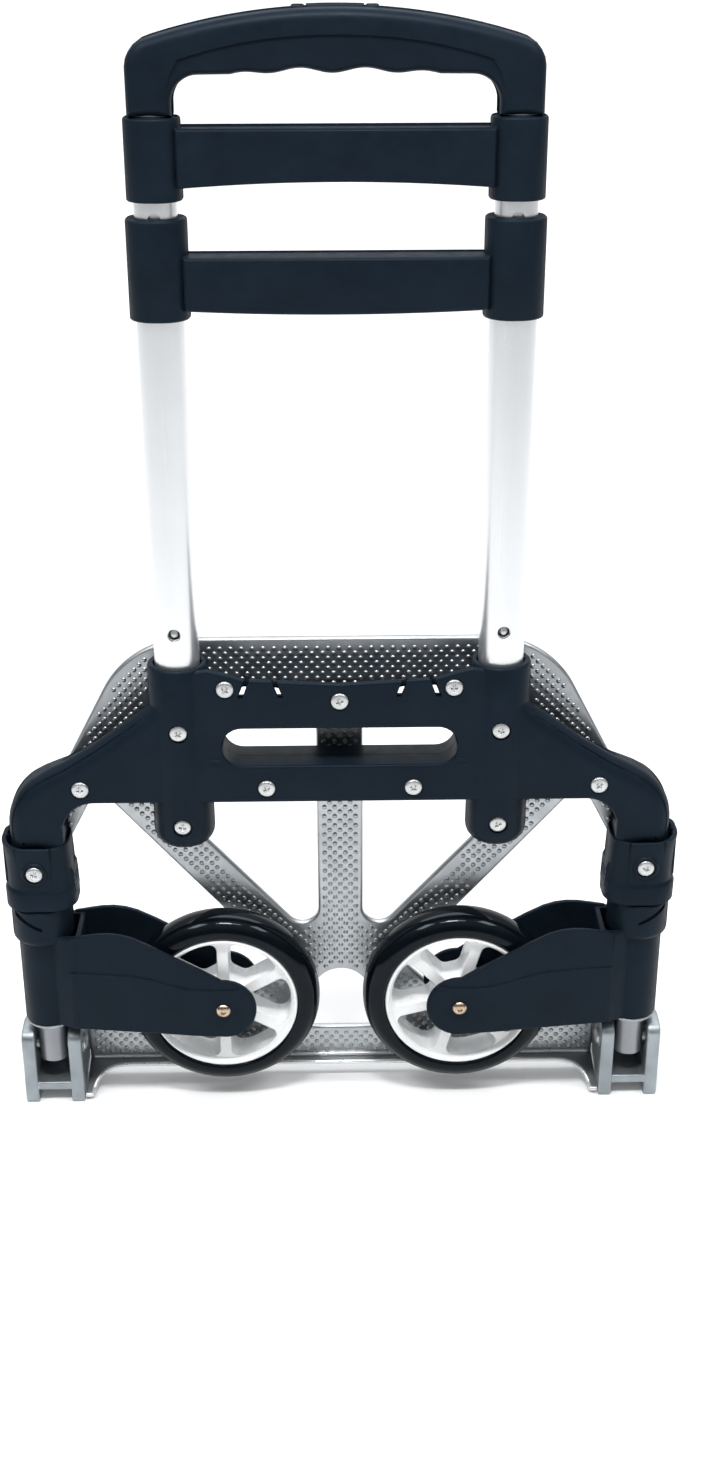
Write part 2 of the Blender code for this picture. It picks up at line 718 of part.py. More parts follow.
def spoke_window(turn):
    """Clockwise opening between two spokes of the wheel disc."""
    half_spoke = 3.6
    inner, outer = 14.0, 39.4
    loop = []
    for radius, sign in ((inner, -1), (outer, 1)):
        spare = math.degrees(math.asin(half_spoke / radius))
        first = turn + spare if sign > 0 else turn + 60 - spare
        last = turn + 60 - spare if sign > 0 else turn + spare
        loop += arc(0, 0, radius, first, last, 3)
    return list(reversed(loop))


def wheel_rim(name, side, turn, materials):
    white = materials["white_rim"]
    centre = (side * AXLE_X, 0, AXLE_Z)

    def place(u, v, height):
        return (centre[0] + u, height, centre[2] + v)

    loops = [circle(0, 0, 42.6, 32)] + [spoke_window(turn + 60 * k) for k in range(SPOKES)]
    rim = loft(name, [(loops, -3.5), (loops, 3.5)], white, place)
    barrel = [(RIM_R, -11.6), (RIM_R, 11.6), (41.4, 11.6), (41.4, -11.6)]
    fuse(rim, turned(f"{name}_barrel", barrel, centre, white, "Y", 32, ring=True))
    fuse(rim, turned(f"{name}_hub", [(0, -13.6), (HUB_R - 1.5, -13.6), (HUB_R, -12), (HUB_R, 12),
                                     (HUB_R - 1.5, 13.6), (0, 13.6)], centre, white, "Y", 16))
    return cut(rim, rod(f"{name}_bore", centre, AXLE_R + GAP, -20, 20, "Y", white))


def tyre(name, side, materials):
    inner = RIM_R + GAP
    half = WHEEL_WIDTH / 2
    flank = [(inner, 11.0), (49.0, half), (54.6, 10.6), (WHEEL_R, 4.6)]
    profile = [(radius, -y) for radius, y in flank] + [(radius, y) for radius, y in reversed(flank)]
    return turned(name, profile, (side * AXLE_X, 0, AXLE_Z), materials["tyre"], "Y", 40, ring=True)


def axle_bolt(name, side, materials):
    profile = [(0, -21.2), (2.6, -21.0), (4.3, -19.9), (4.3, -FORK_HALF - 0.1),
               (AXLE_R, -FORK_HALF - 0.1), (AXLE_R, 18.4), (0, 18.4)]
    return turned(name, profile, (side * AXLE_X, 0, AXLE_Z), materials["axle_steel"], "Y", 12)


def axle_nut(name, side, materials):
    hexagon = circle(side * AXLE_X, AXLE_Z, 4.8, 6)
    bore = list(reversed(circle(side * AXLE_X, AXLE_Z, AXLE_R + 0.1, 12)))
    layers = [([hexagon, bore], 16.6), ([hexagon, bore], 18.5)]
    return loft(name, layers, materials["axle_steel"])


def bracket_washer(name, side, materials):
    profile = [(POST_R + GAP, 56.4), (15.0, 56.4), (15.0, SLEEVE_Z[0] - GAP),
               (POST_R + GAP, SLEEVE_Z[0] - GAP)]
    return turned(name, profile, (side * POST_X, 0, 0), materials["cast_alloy"], ring=True)


# --------------------------------------------------------------- toe plate

def plate_outline():
    half = [(0.0, 10.0), (159.9, 10.0, 0), (159.9, 58.0, 0), (190.0, 58.0, 4), (190.0, 165.2, 6),
            (119.9, 297.9, 38), (0.0, 297.9)]
    right = half[1:-1]
    left = [(-point[0], *point[1:]) for point in reversed(right)]
    return rounded_corners(right + left, 0)


def plate_windows():
    """Five openings: two above the diagonals, two at the sides, one under the hub."""
    above = [(13.7, 269.0), (13.7, 93.3), (131.7, 226.3), (109.1, 269.0)]
    beside = [(37.9, 80.8), (85.9, 32.8), (118.0, 32.8), (164.0, 90.0), (164.0, 165.0),
              (143.7, 203.5)]
    windows = []
    for corners in (above, beside):
        loop = rounded_corners(corners, 9.5)
        windows.append(list(reversed(loop)) if area(loop) > 0 else loop)
    windows += [[(-u, v) for u, v in reversed(loop)] for loop in windows]
    foot = ARCH_WINDOW_Z + ARCH_WINDOW_R * math.sqrt(2) - 32.8
    feet = rounded_corners([(-foot, 32.8), (foot, 32.8), (0.0, 32.8 + foot, 0)], 7.0)[:-1]
    under = arc(0.0, ARCH_WINDOW_Z, ARCH_WINDOW_R, 45, 135, 8) + feet
    windows.append(list(reversed(under)))
    return windows


def area(loop):
    total = 0.0
    for (u0, v0), (u1, v1) in zip(loop, loop[1:] + loop[:1]):
        total += u0 * v1 - u1 * v0
    return total / 2


def toe_plate(materials):
    """Sheet with flanges turned forward, and a rim along its hinge edge."""
    alloy = materials["plate_aluminium"]
    loops = [plate_outline()] + plate_windows()
    back = PLATE_BACK_Y - 0.2
    steps = [(0.0, LOAD_FACE_Y), (0.0, back), (SHEET, back), (SHEET, LOAD_FACE_Y + SHEET)]
    plate = loft("toe_plate", [(region(loops, distance), y) for distance, y in steps], alloy)
    reach = 159.7
    web = [(-reach, 20.0), (-reach, -10.0), (-156.0, -10.0)]
    web += arc(-134.0, -11.0, 22.0, 180, 90, 6) + [(-120.0, 11.2)]
    web += mirrored(web)
    rim = loft("toe_plate_rim", [([web], 9.7), ([web], 11.3)], alloy, to_xy)
    fuse(plate, rim)
    spaces = []
    holes = []
    for side in SIDES.values():
        near, far = sorted((side * 144.6, side * 165.0))
        spaces.append(block("space", (near, LOAD_FACE_Y + SHEET - 0.1, 15.0),
                            (far, 30.0, 50.0), alloy))
        holes.append(rod("hole", (side * RIVET_X, 0, RIVET_Z), RIVET_R + GAP, 15, 22, "Y",
                         alloy, 12))
    cut(plate, combined("toe_plate_lug_spaces", spaces))
    return cut(plate, combined("toe_plate_rivet_holes", holes))


def hinge_block(name, side, materials):
    """Cast channel: two ears and a wall around the post's lower end, on two feet."""
    alloy = materials["cast_alloy"]
    half_width, channel = 18.2, 10.1
    wall_y = LOAD_FACE_Y
    centre = side * POST_X
    arch = [(centre - half_width, 0.0), (centre + half_width, 0.0), (centre + half_width, 46.0)]
    arch += arc(centre, 37.0, 18.0, 35, 145, 6) + [(centre - half_width, 46.0)]
    made = loft(name, [([arch], wall_y), ([arch], PLATE_BACK_Y)], alloy)
    ear = rounded_corners([(EAR_FRONT_Y, 0.0), (wall_y + 1.0, 0.0, 0), (wall_y + 1.0, 46.0, 0),
                           (4.0, 51.0, 6), (EAR_FRONT_Y, 49.0, 7)], 1.0)
    for end, (low, high) in (("inner", (-half_width, -channel)), ("outer", (channel, half_width))):
        near, far = sorted((centre + side * low, centre + side * high))
        stack = [([inset(ear, 0.6)], near), ([ear], near + 0.6), ([ear], far - 0.6),
                 ([inset(ear, 0.6)], far)]
        fuse(made, loft(f"{name}_{end}_ear", stack, alloy, to_yz))
    fuse(made, block(f"{name}_end_web", (centre - channel - 1, EAR_FRONT_Y + 0.8, 9.0),
                     (centre + channel + 1, wall_y + 1, 12.0), alloy))
    near, far = sorted((side * (POST_X - half_width + 1.0), side * 145.0))
    fuse(made, block(f"{name}_lug", (near, LOAD_FACE_Y + SHEET + GAP, 16.0),
                     (far, PLATE_BACK_Y, 49.0), alloy))
    holes = [rod("hole", (centre, 0, PIN_Z), PIN_R + GAP, -30, 30, "X", alloy),
             rod("hole", (side * RIVET_X, 0, RIVET_Z), RIVET_R + GAP, 15, 30, "Y", alloy, 12)]
    return cut(made, combined(f"{name}_holes", holes))


def hinge_pin(name, side, materials):
    """Pin through both ears and the post; its head is on the inner side."""
    reach = 18.2
    profile = [(0, -reach - 2.6), (2.8, -reach - 2.3), (5.2, -reach - 1.0), (5.2, -reach - GAP),
               (PIN_R, -reach - GAP), (PIN_R, reach + 0.8), (PIN_R - 0.8, reach + 1.4),
               (0, reach + 1.4)]
    profile = [(radius, side * along) for radius, along in profile]
    return turned(name, profile, (side * POST_X, 0, PIN_Z), materials["zinc_screw"], "X", 16)


def plate_rivet(name, side, materials):
    face = LOAD_FACE_Y - GAP
    profile = [(0, face - 1.5), (1.8, face - 1.3), (3.4, face - 0.4), (3.4, face),
               (RIVET_R, face), (RIVET_R, PLATE_BACK_Y - 0.1), (0, PLATE_BACK_Y - 0.1)]
    return turned(name, profile, (side * RIVET_X, 0, RIVET_Z), materials["zinc_screw"], "Y", 12)


# ---------------------------------------------------------------- assembly

def make_pieces(materials):
    """Every piece, by the body it belongs to."""
    bodies = {"frame": [main_shell("main_rear_shell", -1, materials),
                        main_shell("main_front_shell", 1, materials),
                        crossbar("lower_crossbar", (15.9, 15.4, 484.5, 535.2),
                                 (487.6, 489.6, 516.6), (OUTER_TUBE[0] + GAP, 531.3),
                                 (MIDDLE_TUBE[0] + GAP, 535.2), materials)]}
    screw_set = screws(materials)
    bodies["middle_stage"] = [crossbar("upper_crossbar", (14.4, 14.2, 543.5, 583.6),
                                       (553.0, 550.0, 578.8), (MIDDLE_TUBE[0] + GAP, 581.3),
                                       (INNER_TUBE[0] + GAP, 583.6), materials)]
    bodies["handle_stage"] = [handle_shell("handle_rear_shell", -1, materials),
                              handle_shell("handle_front_shell", 1, materials)]
    bodies["release"] = [release_button(materials), release_yoke(materials)]
    bodies["plate"] = [toe_plate(materials)]
    for name, thing in screw_set.items():
        bodies["handle_stage" if "handle" in name else "frame"].append(thing)
    for label, side in SIDES.items():
        x = side * TUBE_X
        turn = 14.0 if side > 0 else 30.0
        bodies["frame"] += [outer_tube(f"{label}_outer_tube", x, materials),
                            post(f"{label}_post", side * POST_X, materials),
                            collar(f"{label}_post_collar", side, materials)]
        bodies["middle_stage"].append(middle_tube(f"{label}_middle_tube", x, materials))
        bodies["handle_stage"] += [inner_tube(f"{label}_inner_tube", x, materials),
                                   rod_guide(f"{label}_rod_guide", x, materials),
                                   return_spring(f"{label}_return_spring", x, materials)]
        bodies[f"{label}_lower_lock"] = [lock_pin(f"{label}_lower_lock_pin", x, LOCK_HOLE_Z,
                                                  -11.2, materials)]
        bodies[f"{label}_upper_lock"] = [lock_pin(f"{label}_upper_lock_pin", x, UPPER_PIN_Z,
                                                  -9.7, materials)]
        bodies[f"{label}_bracket"] = [wheel_bracket(f"{label}_wheel_bracket", side, materials),
                                      bracket_washer(f"{label}_bracket_washer", side, materials),
                                      axle_bolt(f"{label}_axle_bolt", side, materials),
                                      axle_nut(f"{label}_axle_nut", side, materials)]
        bodies[f"{label}_wheel"] = [wheel_rim(f"{label}_wheel_rim", side, turn, materials),
                                    tyre(f"{label}_tyre", side, materials)]
        bodies["plate"] += [hinge_block(f"{label}_hinge_block", side, materials),
                            hinge_pin(f"{label}_hinge_pin", side, materials),
                            plate_rivet(f"{label}_plate_rivet", side, materials)]
    return bodies


def joint_tree():
    """Body, parent body and the place of its joint."""
    tree = [("frame", None, (0, 0, 0)),
            ("middle_stage", "frame", (0, 0, LOCK_HOLE_Z)),
            ("handle_stage", "middle_stage", (0, 0, UPPER_PIN_Z)),
            ("release", "handle_stage", (0, 0, YOKE_Z[1])),
            ("plate", "frame", (0, 0, PIN_Z))]
    for label, side in SIDES.items():
        tree += [(f"{label}_lower_lock", "middle_stage", (side * TUBE_X, 0, LOCK_HOLE_Z)),
                 (f"{label}_upper_lock", "handle_stage", (side * TUBE_X, 0, UPPER_PIN_Z)),
                 (f"{label}_bracket", "frame", (side * POST_X, 0, 0)),
                 (f"{label}_wheel", f"{label}_bracket", (side * AXLE_X, 0, AXLE_Z))]
    return tree


def assemble(bodies):
    """Parent each body's pieces to an empty on its joint."""
    empties = {}
    for name, parent, place in joint_tree():
        empty = bpy.data.objects.new(f"{name}_joint", None)
        bpy.context.scene.collection.objects.link(empty)
        spot = Vector(place) * MM
        if parent:
            empty.parent = empties[parent][0]
            empty.location = spot - empties[parent][1]
        empties[name] = (empty, spot)
        for piece in bodies[name]:
            piece.parent = empty
            piece.location = piece.location - spot


def main():
    clear_scene()
    assemble(make_pieces(make_materials()))


main()
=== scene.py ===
"""Looks of the folding hand truck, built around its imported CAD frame.

Shapes are drawn in millimetres and stored in metres. X runs across the truck,
Y forward to the toe plate and Z up, as in the frame.
"""
import json
from math import acos, asin, atan2, copysign, cos, degrees, pi, radians, sin, sqrt, tan

import bmesh
import bpy
from mathutils import Matrix, Vector


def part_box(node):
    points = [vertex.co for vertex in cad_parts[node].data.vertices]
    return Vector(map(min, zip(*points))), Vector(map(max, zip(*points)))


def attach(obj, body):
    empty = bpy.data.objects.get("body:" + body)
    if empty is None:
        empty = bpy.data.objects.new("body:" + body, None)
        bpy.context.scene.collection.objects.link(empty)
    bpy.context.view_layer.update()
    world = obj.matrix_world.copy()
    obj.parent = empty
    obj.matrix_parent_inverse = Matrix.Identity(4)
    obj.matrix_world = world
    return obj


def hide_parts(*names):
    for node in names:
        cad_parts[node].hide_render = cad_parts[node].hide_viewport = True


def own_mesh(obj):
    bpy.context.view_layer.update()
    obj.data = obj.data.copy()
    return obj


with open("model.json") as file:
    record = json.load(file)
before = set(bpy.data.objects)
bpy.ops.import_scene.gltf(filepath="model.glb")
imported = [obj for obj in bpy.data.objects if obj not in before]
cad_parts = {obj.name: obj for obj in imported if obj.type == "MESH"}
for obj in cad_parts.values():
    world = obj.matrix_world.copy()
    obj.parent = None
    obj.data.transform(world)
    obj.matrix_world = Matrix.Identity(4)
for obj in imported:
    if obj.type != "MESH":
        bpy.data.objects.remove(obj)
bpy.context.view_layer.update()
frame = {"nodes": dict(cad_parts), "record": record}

scene = bpy.context.scene
MM = 0.001
SIDES = {"left": -1, "right": 1}
RECORD = frame["record"]
BODY_OF = {node: body for body, nodes in RECORD["behaviour"]["bodies"].items() for node in nodes}
SLOT_OF = {part["node"]: part["material_slot"] for part in RECORD["subparts"]}
MOUNTS = {mount["name"]: mount for mount in RECORD["mounts"]}
PLASTIC = "black_plastic"


def low(node):
    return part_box(node)[0] / MM


def high(node):
    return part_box(node)[1] / MM


def middle(node):
    return (low(node) + high(node)) / 2


def heights(node):
    return low(node).z, high(node).z


def radius_of(node):
    return (high(node).x - low(node).x) / 2


# Places that the shapes below are drawn around, most of them read from the frame
TUBE_X = middle("right_outer_tube").x
TUBE_R = radius_of("right_outer_tube")
MIDDLE_R = radius_of("right_middle_tube")
INNER_R = radius_of("right_inner_tube")
POST_X = middle("right_post").x
POST_R = radius_of("right_post")
POST_BORE = POST_R + 0.2
AXLE_X = middle("right_tyre").x
AXLE_Z = middle("right_tyre").z
WHEEL_R = (high("right_tyre").z - low("right_tyre").z) / 2
WHEEL_HALF = high("right_tyre").y
PIN_Z = middle("right_hinge_pin").z
PIN_R = 3.6
PIN_BORE = PIN_R + 0.2
LOAD_Y = MOUNTS["load_face"]["pos_m"][1] / MM
PLATE_BACK = high("toe_plate").y
SHEET = 1.6
FORK_Y = -low("right_wheel_bracket").y
LOCK_Z = middle("right_lower_lock_pin").z
UPPER_LOCK_Z = middle("right_upper_lock_pin").z
TRAVEL = 190.0
SPLIT = 0.15


# ---- materials

def tune(node, settings):
    """Set a node's own properties or its sockets' values; _ stands for a space."""
    for key, value in settings.items():
        if hasattr(node, key):
            setattr(node, key, value)
        else:
            node.inputs[key.replace("_", " ")].default_value = value


class Shader:
    """A few shorthands around the node tree of a material or a world."""

    def __init__(self, owner):
        owner.use_nodes = True
        self.nodes = owner.node_tree.nodes
        self.links = owner.node_tree.links
        self.coordinates = self.add("ShaderNodeTexCoord").outputs

    def add(self, kind, **settings):
        node = self.nodes.new(kind)
        tune(node, settings)
        return node

    def link(self, output, socket):
        self.links.new(output, socket)

    def noise(self, scale, detail, stretch=None):
        node = self.add("ShaderNodeTexNoise", Scale=scale, Detail=detail, Roughness=0.55)
        source = self.coordinates["Object"]
        if stretch:
            mapping = self.add("ShaderNodeMapping", Scale=stretch)
            self.link(source, mapping.inputs["Vector"])
            source = mapping.outputs["Vector"]
        self.link(source, node.inputs["Vector"])
        return node.outputs["Fac"]

    def spread(self, value, low_in, high_in, low_out, high_out, **settings):
        node = self.add("ShaderNodeMapRange", From_Min=low_in, From_Max=high_in,
                        To_Min=low_out, To_Max=high_out, **settings)
        self.link(value, node.inputs["Value"])
        return node.outputs["Result"]

    def mix(self, factor, first, second):
        """Blend two colours; each is a socket or three numbers."""
        node = self.add("ShaderNodeMix", data_type="RGBA")
        for value, socket in zip((factor, first, second), (0, 6, 7)):
            if isinstance(value, tuple):
                node.inputs[socket].default_value = (*value, 1.0)
            else:
                self.link(value, node.inputs[socket])
        return node.outputs[2]

    def bump(self, height, normal, strength, distance):
        node = self.add("ShaderNodeBump", Strength=strength, Distance=distance)
        self.link(height, node.inputs["Height"])
        self.link(normal, node.inputs["Normal"])
        return node.outputs["Normal"]


def shade(colour, factor):
    return tuple(min(1.0, channel * factor) for channel in colour)


def finish(name, colour, rough, metal=0.0, mottle=(45.0, 0.12), grain=(1800.0, 0.12),
           streak=None, edge_highlight=None, round_edge=0.5, specular=0.5, rough_spread=0.07,
           sheen=(1.0, 1.0, 1.0), matt_edge=False):
    """One procedural finish.

    mottle is (scale, share) of slow colour change, grain (scale, strength) of
    fine bump, streak (stretch, strength) of drawn lines, edge_highlight (colour,
    share) of painted highlight on convex edges, round_edge a radius in
    millimetres, sheen the reflection's tint. matt_edge takes the gloss away where
    the surface is seen edge on.
    """
    material = bpy.data.materials.new(name)
    make = Shader(material)
    bsdf = make.nodes["Principled BSDF"]
    scale, share = mottle
    slow = make.spread(make.noise(scale, 5.0), 0.3, 0.7, 0.0, 1.0)
    tint = make.mix(slow, shade(colour, 1 - share), shade(colour, 1 + share))
    normal = make.add("ShaderNodeBevel", samples=4, Radius=round_edge * MM).outputs["Normal"]
    # Painted highlight: convex edges, found from the bevel normal, are lightened towards the given
    # colour in patches set by noise.
    if edge_highlight:
        turn = make.add("ShaderNodeVectorMath", operation="DOT_PRODUCT")
        make.link(normal, turn.inputs[0])
        make.link(make.add("ShaderNodeNewGeometry").outputs["Normal"], turn.inputs[1])
        highlight_mask = make.add("ShaderNodeMath", operation="MULTIPLY")
        make.link(make.spread(turn.outputs["Value"], 0.99, 0.86, 0.0, 1.0), highlight_mask.inputs[0])
        make.link(make.spread(make.noise(160.0, 3.0), 0.45, 0.62, 0.0, edge_highlight[1]), highlight_mask.inputs[1])
        tint = make.mix(highlight_mask.outputs[0], tint, edge_highlight[0])
    make.link(tint, bsdf.inputs["Base Color"])
    if streak:
        cloudy = make.noise(600.0, 4.0, stretch=streak[0])
        normal = make.bump(cloudy, normal, streak[1], 0.00008)
    else:
        cloudy = make.noise(scale * 4, 4.0)
    make.link(make.spread(cloudy, 0.3, 0.7, rough - rough_spread, rough + rough_spread),
              bsdf.inputs["Roughness"])
    make.link(make.bump(make.noise(grain[0], 3.0), normal, grain[1], 0.0001),
              bsdf.inputs["Normal"])
    tune(bsdf, {"Metallic": metal, "Specular IOR Level": specular,
                "Specular Tint": (*sheen, 1.0)})
    if matt_edge:
        facing = make.add("ShaderNodeLayerWeight", Blend=0.5).outputs["Facing"]
        make.link(make.spread(facing, 0.60, 0.86, specular, 0.0),
                  bsdf.inputs["Specular IOR Level"])
    return material


FINISH = {name: finish(name, *values, **more) for name, values, more in (
    # Black plastic: its lighter edges are a painted highlight.
    (PLASTIC, ((0.0066, 0.0117, 0.0185), 0.40),
     dict(mottle=(38.0, 0.16), grain=(1300.0, 0.45), specular=0.10, rough_spread=0.06,
          edge_highlight=((0.035, 0.040, 0.048), 0.4), sheen=(0.62, 0.80, 1.0), matt_edge=True)),
    ("anodised_tube", ((0.80, 0.81, 0.82), 0.30, 0.9),
     dict(mottle=(14.0, 0.03), grain=(2600.0, 0.05), streak=((1.6, 1.6, 0.010), 0.05),
          rough_spread=0.03)),
    # Plate metal: the lighter edges of its dimples and sheet are a painted highlight.
    ("plate_aluminium", ((0.44, 0.46, 0.475), 0.40, 1.0),
     dict(mottle=(30.0, 0.06), grain=(1500.0, 0.12), edge_highlight=((0.74, 0.75, 0.76), 0.5),
          round_edge=0.35)),
    # A lighter copy of the plate metal for the bend and the hem: a painted highlight line.
    ("plate_edge_highlight", ((0.82, 0.83, 0.84), 0.32, 0.75),
     dict(mottle=(60.0, 0.05), grain=(1500.0, 0.10), round_edge=0.3)),
    # Cast alloy: its lighter edges are a painted highlight.
    ("cast_alloy", ((0.31, 0.345, 0.365), 0.42, 0.85),
     dict(mottle=(70.0, 0.16), grain=(800.0, 0.55), edge_highlight=((0.78, 0.80, 0.81), 0.8),
          round_edge=0.8)),
    ("post_steel", ((0.27, 0.28, 0.295), 0.36, 1.0),
     dict(mottle=(40.0, 0.08), streak=((1.0, 1.0, 0.02), 0.08))),
    # Screw zinc: the white ring and the lighter edges of the cross are a painted highlight.
    ("zinc_screw", ((0.56, 0.57, 0.57), 0.32, 0.75),
     dict(mottle=(300.0, 0.12), grain=(2400.0, 0.12), edge_highlight=((0.95, 0.95, 0.93), 0.95),
          round_edge=0.35)),
    ("axle_steel", ((0.52, 0.40, 0.29), 0.28, 1.0),
     dict(mottle=(260.0, 0.28), grain=(2000.0, 0.15), round_edge=0.25)),
    ("white_rim", ((0.90, 0.91, 0.915), 0.30),
     dict(mottle=(25.0, 0.02), grain=(1400.0, 0.08), round_edge=0.7)),
    ("tyre", ((0.0024, 0.0038, 0.0058), 0.08),
     dict(mottle=(50.0, 0.2), grain=(500.0, 0.02), specular=0.17, round_edge=0.4,
          rough_spread=0.02, sheen=(0.80, 0.92, 1.0), matt_edge=True)),
    ("spring_steel", ((0.55, 0.55, 0.56), 0.30, 1.0), dict(round_edge=0.2)))}


# ---- outlines

def arc(cu, cv, radius, start, end, steps):
    """Points on an arc between two angles in degrees, both ends included."""
    points = []
    for step in range(steps + 1):
        angle = radians(start + (end - start) * step / steps)
        points.append((cu + radius * cos(angle), cv + radius * sin(angle)))
    return points


def circle(cu, cv, radius, count=64):
    return arc(cu, cv, radius, 0, 360, count)[:-1]


def rounded_box(cu, cv, half_u, half_v, radius, steps=7):
    points = []
    for corner, (sign_u, sign_v) in enumerate([(1, 1), (-1, 1), (-1, -1), (1, -1)]):
        points += arc(cu + sign_u * (half_u - radius), cv + sign_v * (half_v - radius), radius,
                      90 * corner, 90 * corner + 90, steps)
    return points


def mirrored(loop):
    """The same outline on the other side of X = 0, still turning the same way."""
    return [(-u, v) for u, v in reversed(loop)]


def on_side(loop, side):
    return loop if side > 0 else mirrored(loop)


def wound(loop, way=1):
    """The outline turning anticlockwise, or clockwise when way is -1."""
    area = sum(u0 * v1 - u1 * v0 for (u0, v0), (u1, v1) in zip(loop, loop[1:] + loop[:1]))
    return loop if area * way > 0 else loop[::-1]


def with_neighbours(loop):
    """Each point of a closed outline, between the ones before and after it."""
    points = [Vector(point[:2]) for point in loop]
    return zip(points[-1:] + points[:-1], points, points[1:] + points[:1])


def inset(loop, distance):
    """Move an outline to its left; distance is a number or one for each point."""
    moved = []
    for k, (before, here, after) in enumerate(with_neighbours(loop)):
        incoming = (here - before).normalized()
        outgoing = (after - here).normalized()
        normal_in = Vector((-incoming.y, incoming.x))
        normal_out = Vector((-outgoing.y, outgoing.x))
        way = (normal_in + normal_out).normalized()
        reach = distance[k] if isinstance(distance, list) else distance
        point = here + way * (reach / max(way.dot(normal_out), 0.5))
        moved.append((point.x, point.y))
    return moved


def rounded_corners(corners, radius, steps=7):
    """A polygon with each corner cut back to an arc; a corner may carry its own radius."""
    points = []
    for corner, (before, here, after) in zip(corners, with_neighbours(corners)):
        own = corner[2] if len(corner) > 2 else radius
        if own == 0:
            points.append((here.x, here.y))
            continue
        back = (before - here).normalized()
        ahead = (after - here).normalized()
        half = acos(max(-1.0, min(1.0, back.dot(ahead)))) / 2
        reach = own / tan(half)
        centre = here + (back + ahead).normalized() * (own / sin(half))
        first = here + back * reach - centre
        last = here + ahead * reach - centre
        turn = atan2(first.x * last.y - first.y * last.x, first.dot(last))
        for step in range(steps + 1):
            spun = Matrix.Rotation(turn * step / steps, 2) @ first
            points.append((centre.x + spun.x, centre.y + spun.y))
    return points


# ---- meshes

def xz(u, v, height):
    return (u, height, v)


def xy(u, v, height):
    return (u, v, height)


def yz(u, v, height):
    return (height, u, v)


def zx(u, v, height):
    return (v, height, u)


def in_scene(name, data):
    thing = bpy.data.objects.new(name, data)
    scene.collection.objects.link(thing)
    return thing


def smooth(mesh, sharp=32):
    mesh.shade_smooth()
    mesh.set_sharp_from_angle(angle=radians(sharp))


def to_mesh(name, bm):
    mesh = bpy.data.meshes.new(name)
    bm.to_mesh(mesh)
    bm.free()
    return mesh


def to_object(name, bm, slot, sharp=32):
    bmesh.ops.recalc_face_normals(bm, faces=bm.faces)
    mesh = to_mesh(name, bm)
    mesh.materials.append(FINISH[slot])
    smooth(mesh, sharp)
    return in_scene(name, mesh)


def bridge(bm, first, second):
    """Faces between two closed outlines; either may be a single point."""
    count = max(len(first), len(second))
    for k in range(count):
        after = (k + 1) % count
        corners = [first[k % len(first)], first[after % len(first)],
                   second[after % len(second)], second[k % len(second)]]
        bm.faces.new(list(dict.fromkeys(corners)))


def skin(name, layers, slot=PLASTIC, ring=False, sharp=32):
    """Join stacked outlines of 3-D points.

    The end outlines are filled unless ring is set, and an outline may be a
    single point.
    """
    bm = bmesh.new()
    rings = [[[bm.verts.new(Vector(point) * MM) for point in loop] for loop in layer]
             for layer in layers]
    following = rings[1:] + rings[:1] if ring else rings[1:]
    for lower, upper in zip(rings, following):
        for first, second in zip(lower, upper):
            bridge(bm, first, second)
    if not ring:
        for made in (rings[0], rings[-1]):
            rim = [bm.edges.get((loop[k - 1], loop[k])) for loop in made
                   for k in range(len(loop)) if len(loop) > 1]
            if rim:
                bmesh.ops.triangle_fill(bm, edges=rim, use_beauty=True)
    return to_object(name, bm, slot, sharp)


def loft(name, layers, slot=PLASTIC, place=xz, sharp=32):
    """skin() for layers of (outlines, height)."""
    placed = [[[place(u, v, height) for u, v in loop] for loop in loops]
              for loops, height in layers]
    return skin(name, placed, slot, sharp=sharp)


def prism(name, loop, start, end, slot=PLASTIC):
    """A straight block along Y, mostly used to cut with."""
    return loft(name, [([loop], start), ([loop], end)], slot)


def round_over(radius, top, sign=1, steps=4):
    """(inset, height) pairs from a face at height top down a rounded edge."""
    pairs = []
    for step in range(steps + 1):
        angle = radians(90 - 90 * step / steps)
        pairs.append((radius * (1 - cos(angle)), top - sign * radius * (1 - sin(angle))))
    return pairs


def both_edges(top, bottom, radius, steps=4, low_radius=None, low_steps=None):
    """(inset, height) pairs from the top face to the bottom one, both edges rounded over."""
    lower = round_over(low_radius or radius, bottom, -1, low_steps or steps)
    return round_over(radius, top, 1, steps) + lower[::-1]


def stack(name, loops, pairs, slot=PLASTIC, place=xz):
    """Loft outlines through (inset, height) pairs."""
    return loft(name, [([inset(loop, distance) for loop in loops], height)
                       for distance, height in pairs], slot, place)


def turned(name, profile, centre, slot=PLASTIC, axis="Z", count=64, ring=False, sharp=32):
    """Revolve (radius, height) points; a solid starts and ends at radius 0."""
    place = {"X": yz, "Y": zx, "Z": xy}[axis]
    layers = []
    for radius, height in profile:
        flat = circle(0, 0, radius, count) if radius else [(0.0, 0.0)]
        layers.append([[Vector(place(u, v, height)) + Vector(centre) for u, v in flat]])
    return skin(name, layers, slot, ring, sharp)


def rod(centre, radius, start, end, axis, count=32):
    """A plain round bar to cut a hole with."""
    return turned("rod", [(0, start), (radius, start), (radius, end), (0, end)], centre,
                  axis=axis, count=count)


def box(name, first, last, slot=PLASTIC, radius=0.0):
    """A block between two opposite corners, with its edges rounded if there is a radius."""
    centre = [(a + b) / 2 for a, b in zip(first, last)]
    half = [abs(b - a) / 2 for a, b in zip(first, last)]
    bm = bmesh.new()
    bmesh.ops.create_cube(bm, size=2.0)
    for vertex in bm.verts:
        vertex.co = Vector([(c + v * h) * MM for c, v, h in zip(centre, vertex.co, half)])
    if radius:
        bmesh.ops.bevel(bm, geom=bm.edges[:], offset=radius * MM, segments=3, profile=0.5,
                        affect="EDGES")
    return to_object(name, bm, slot)


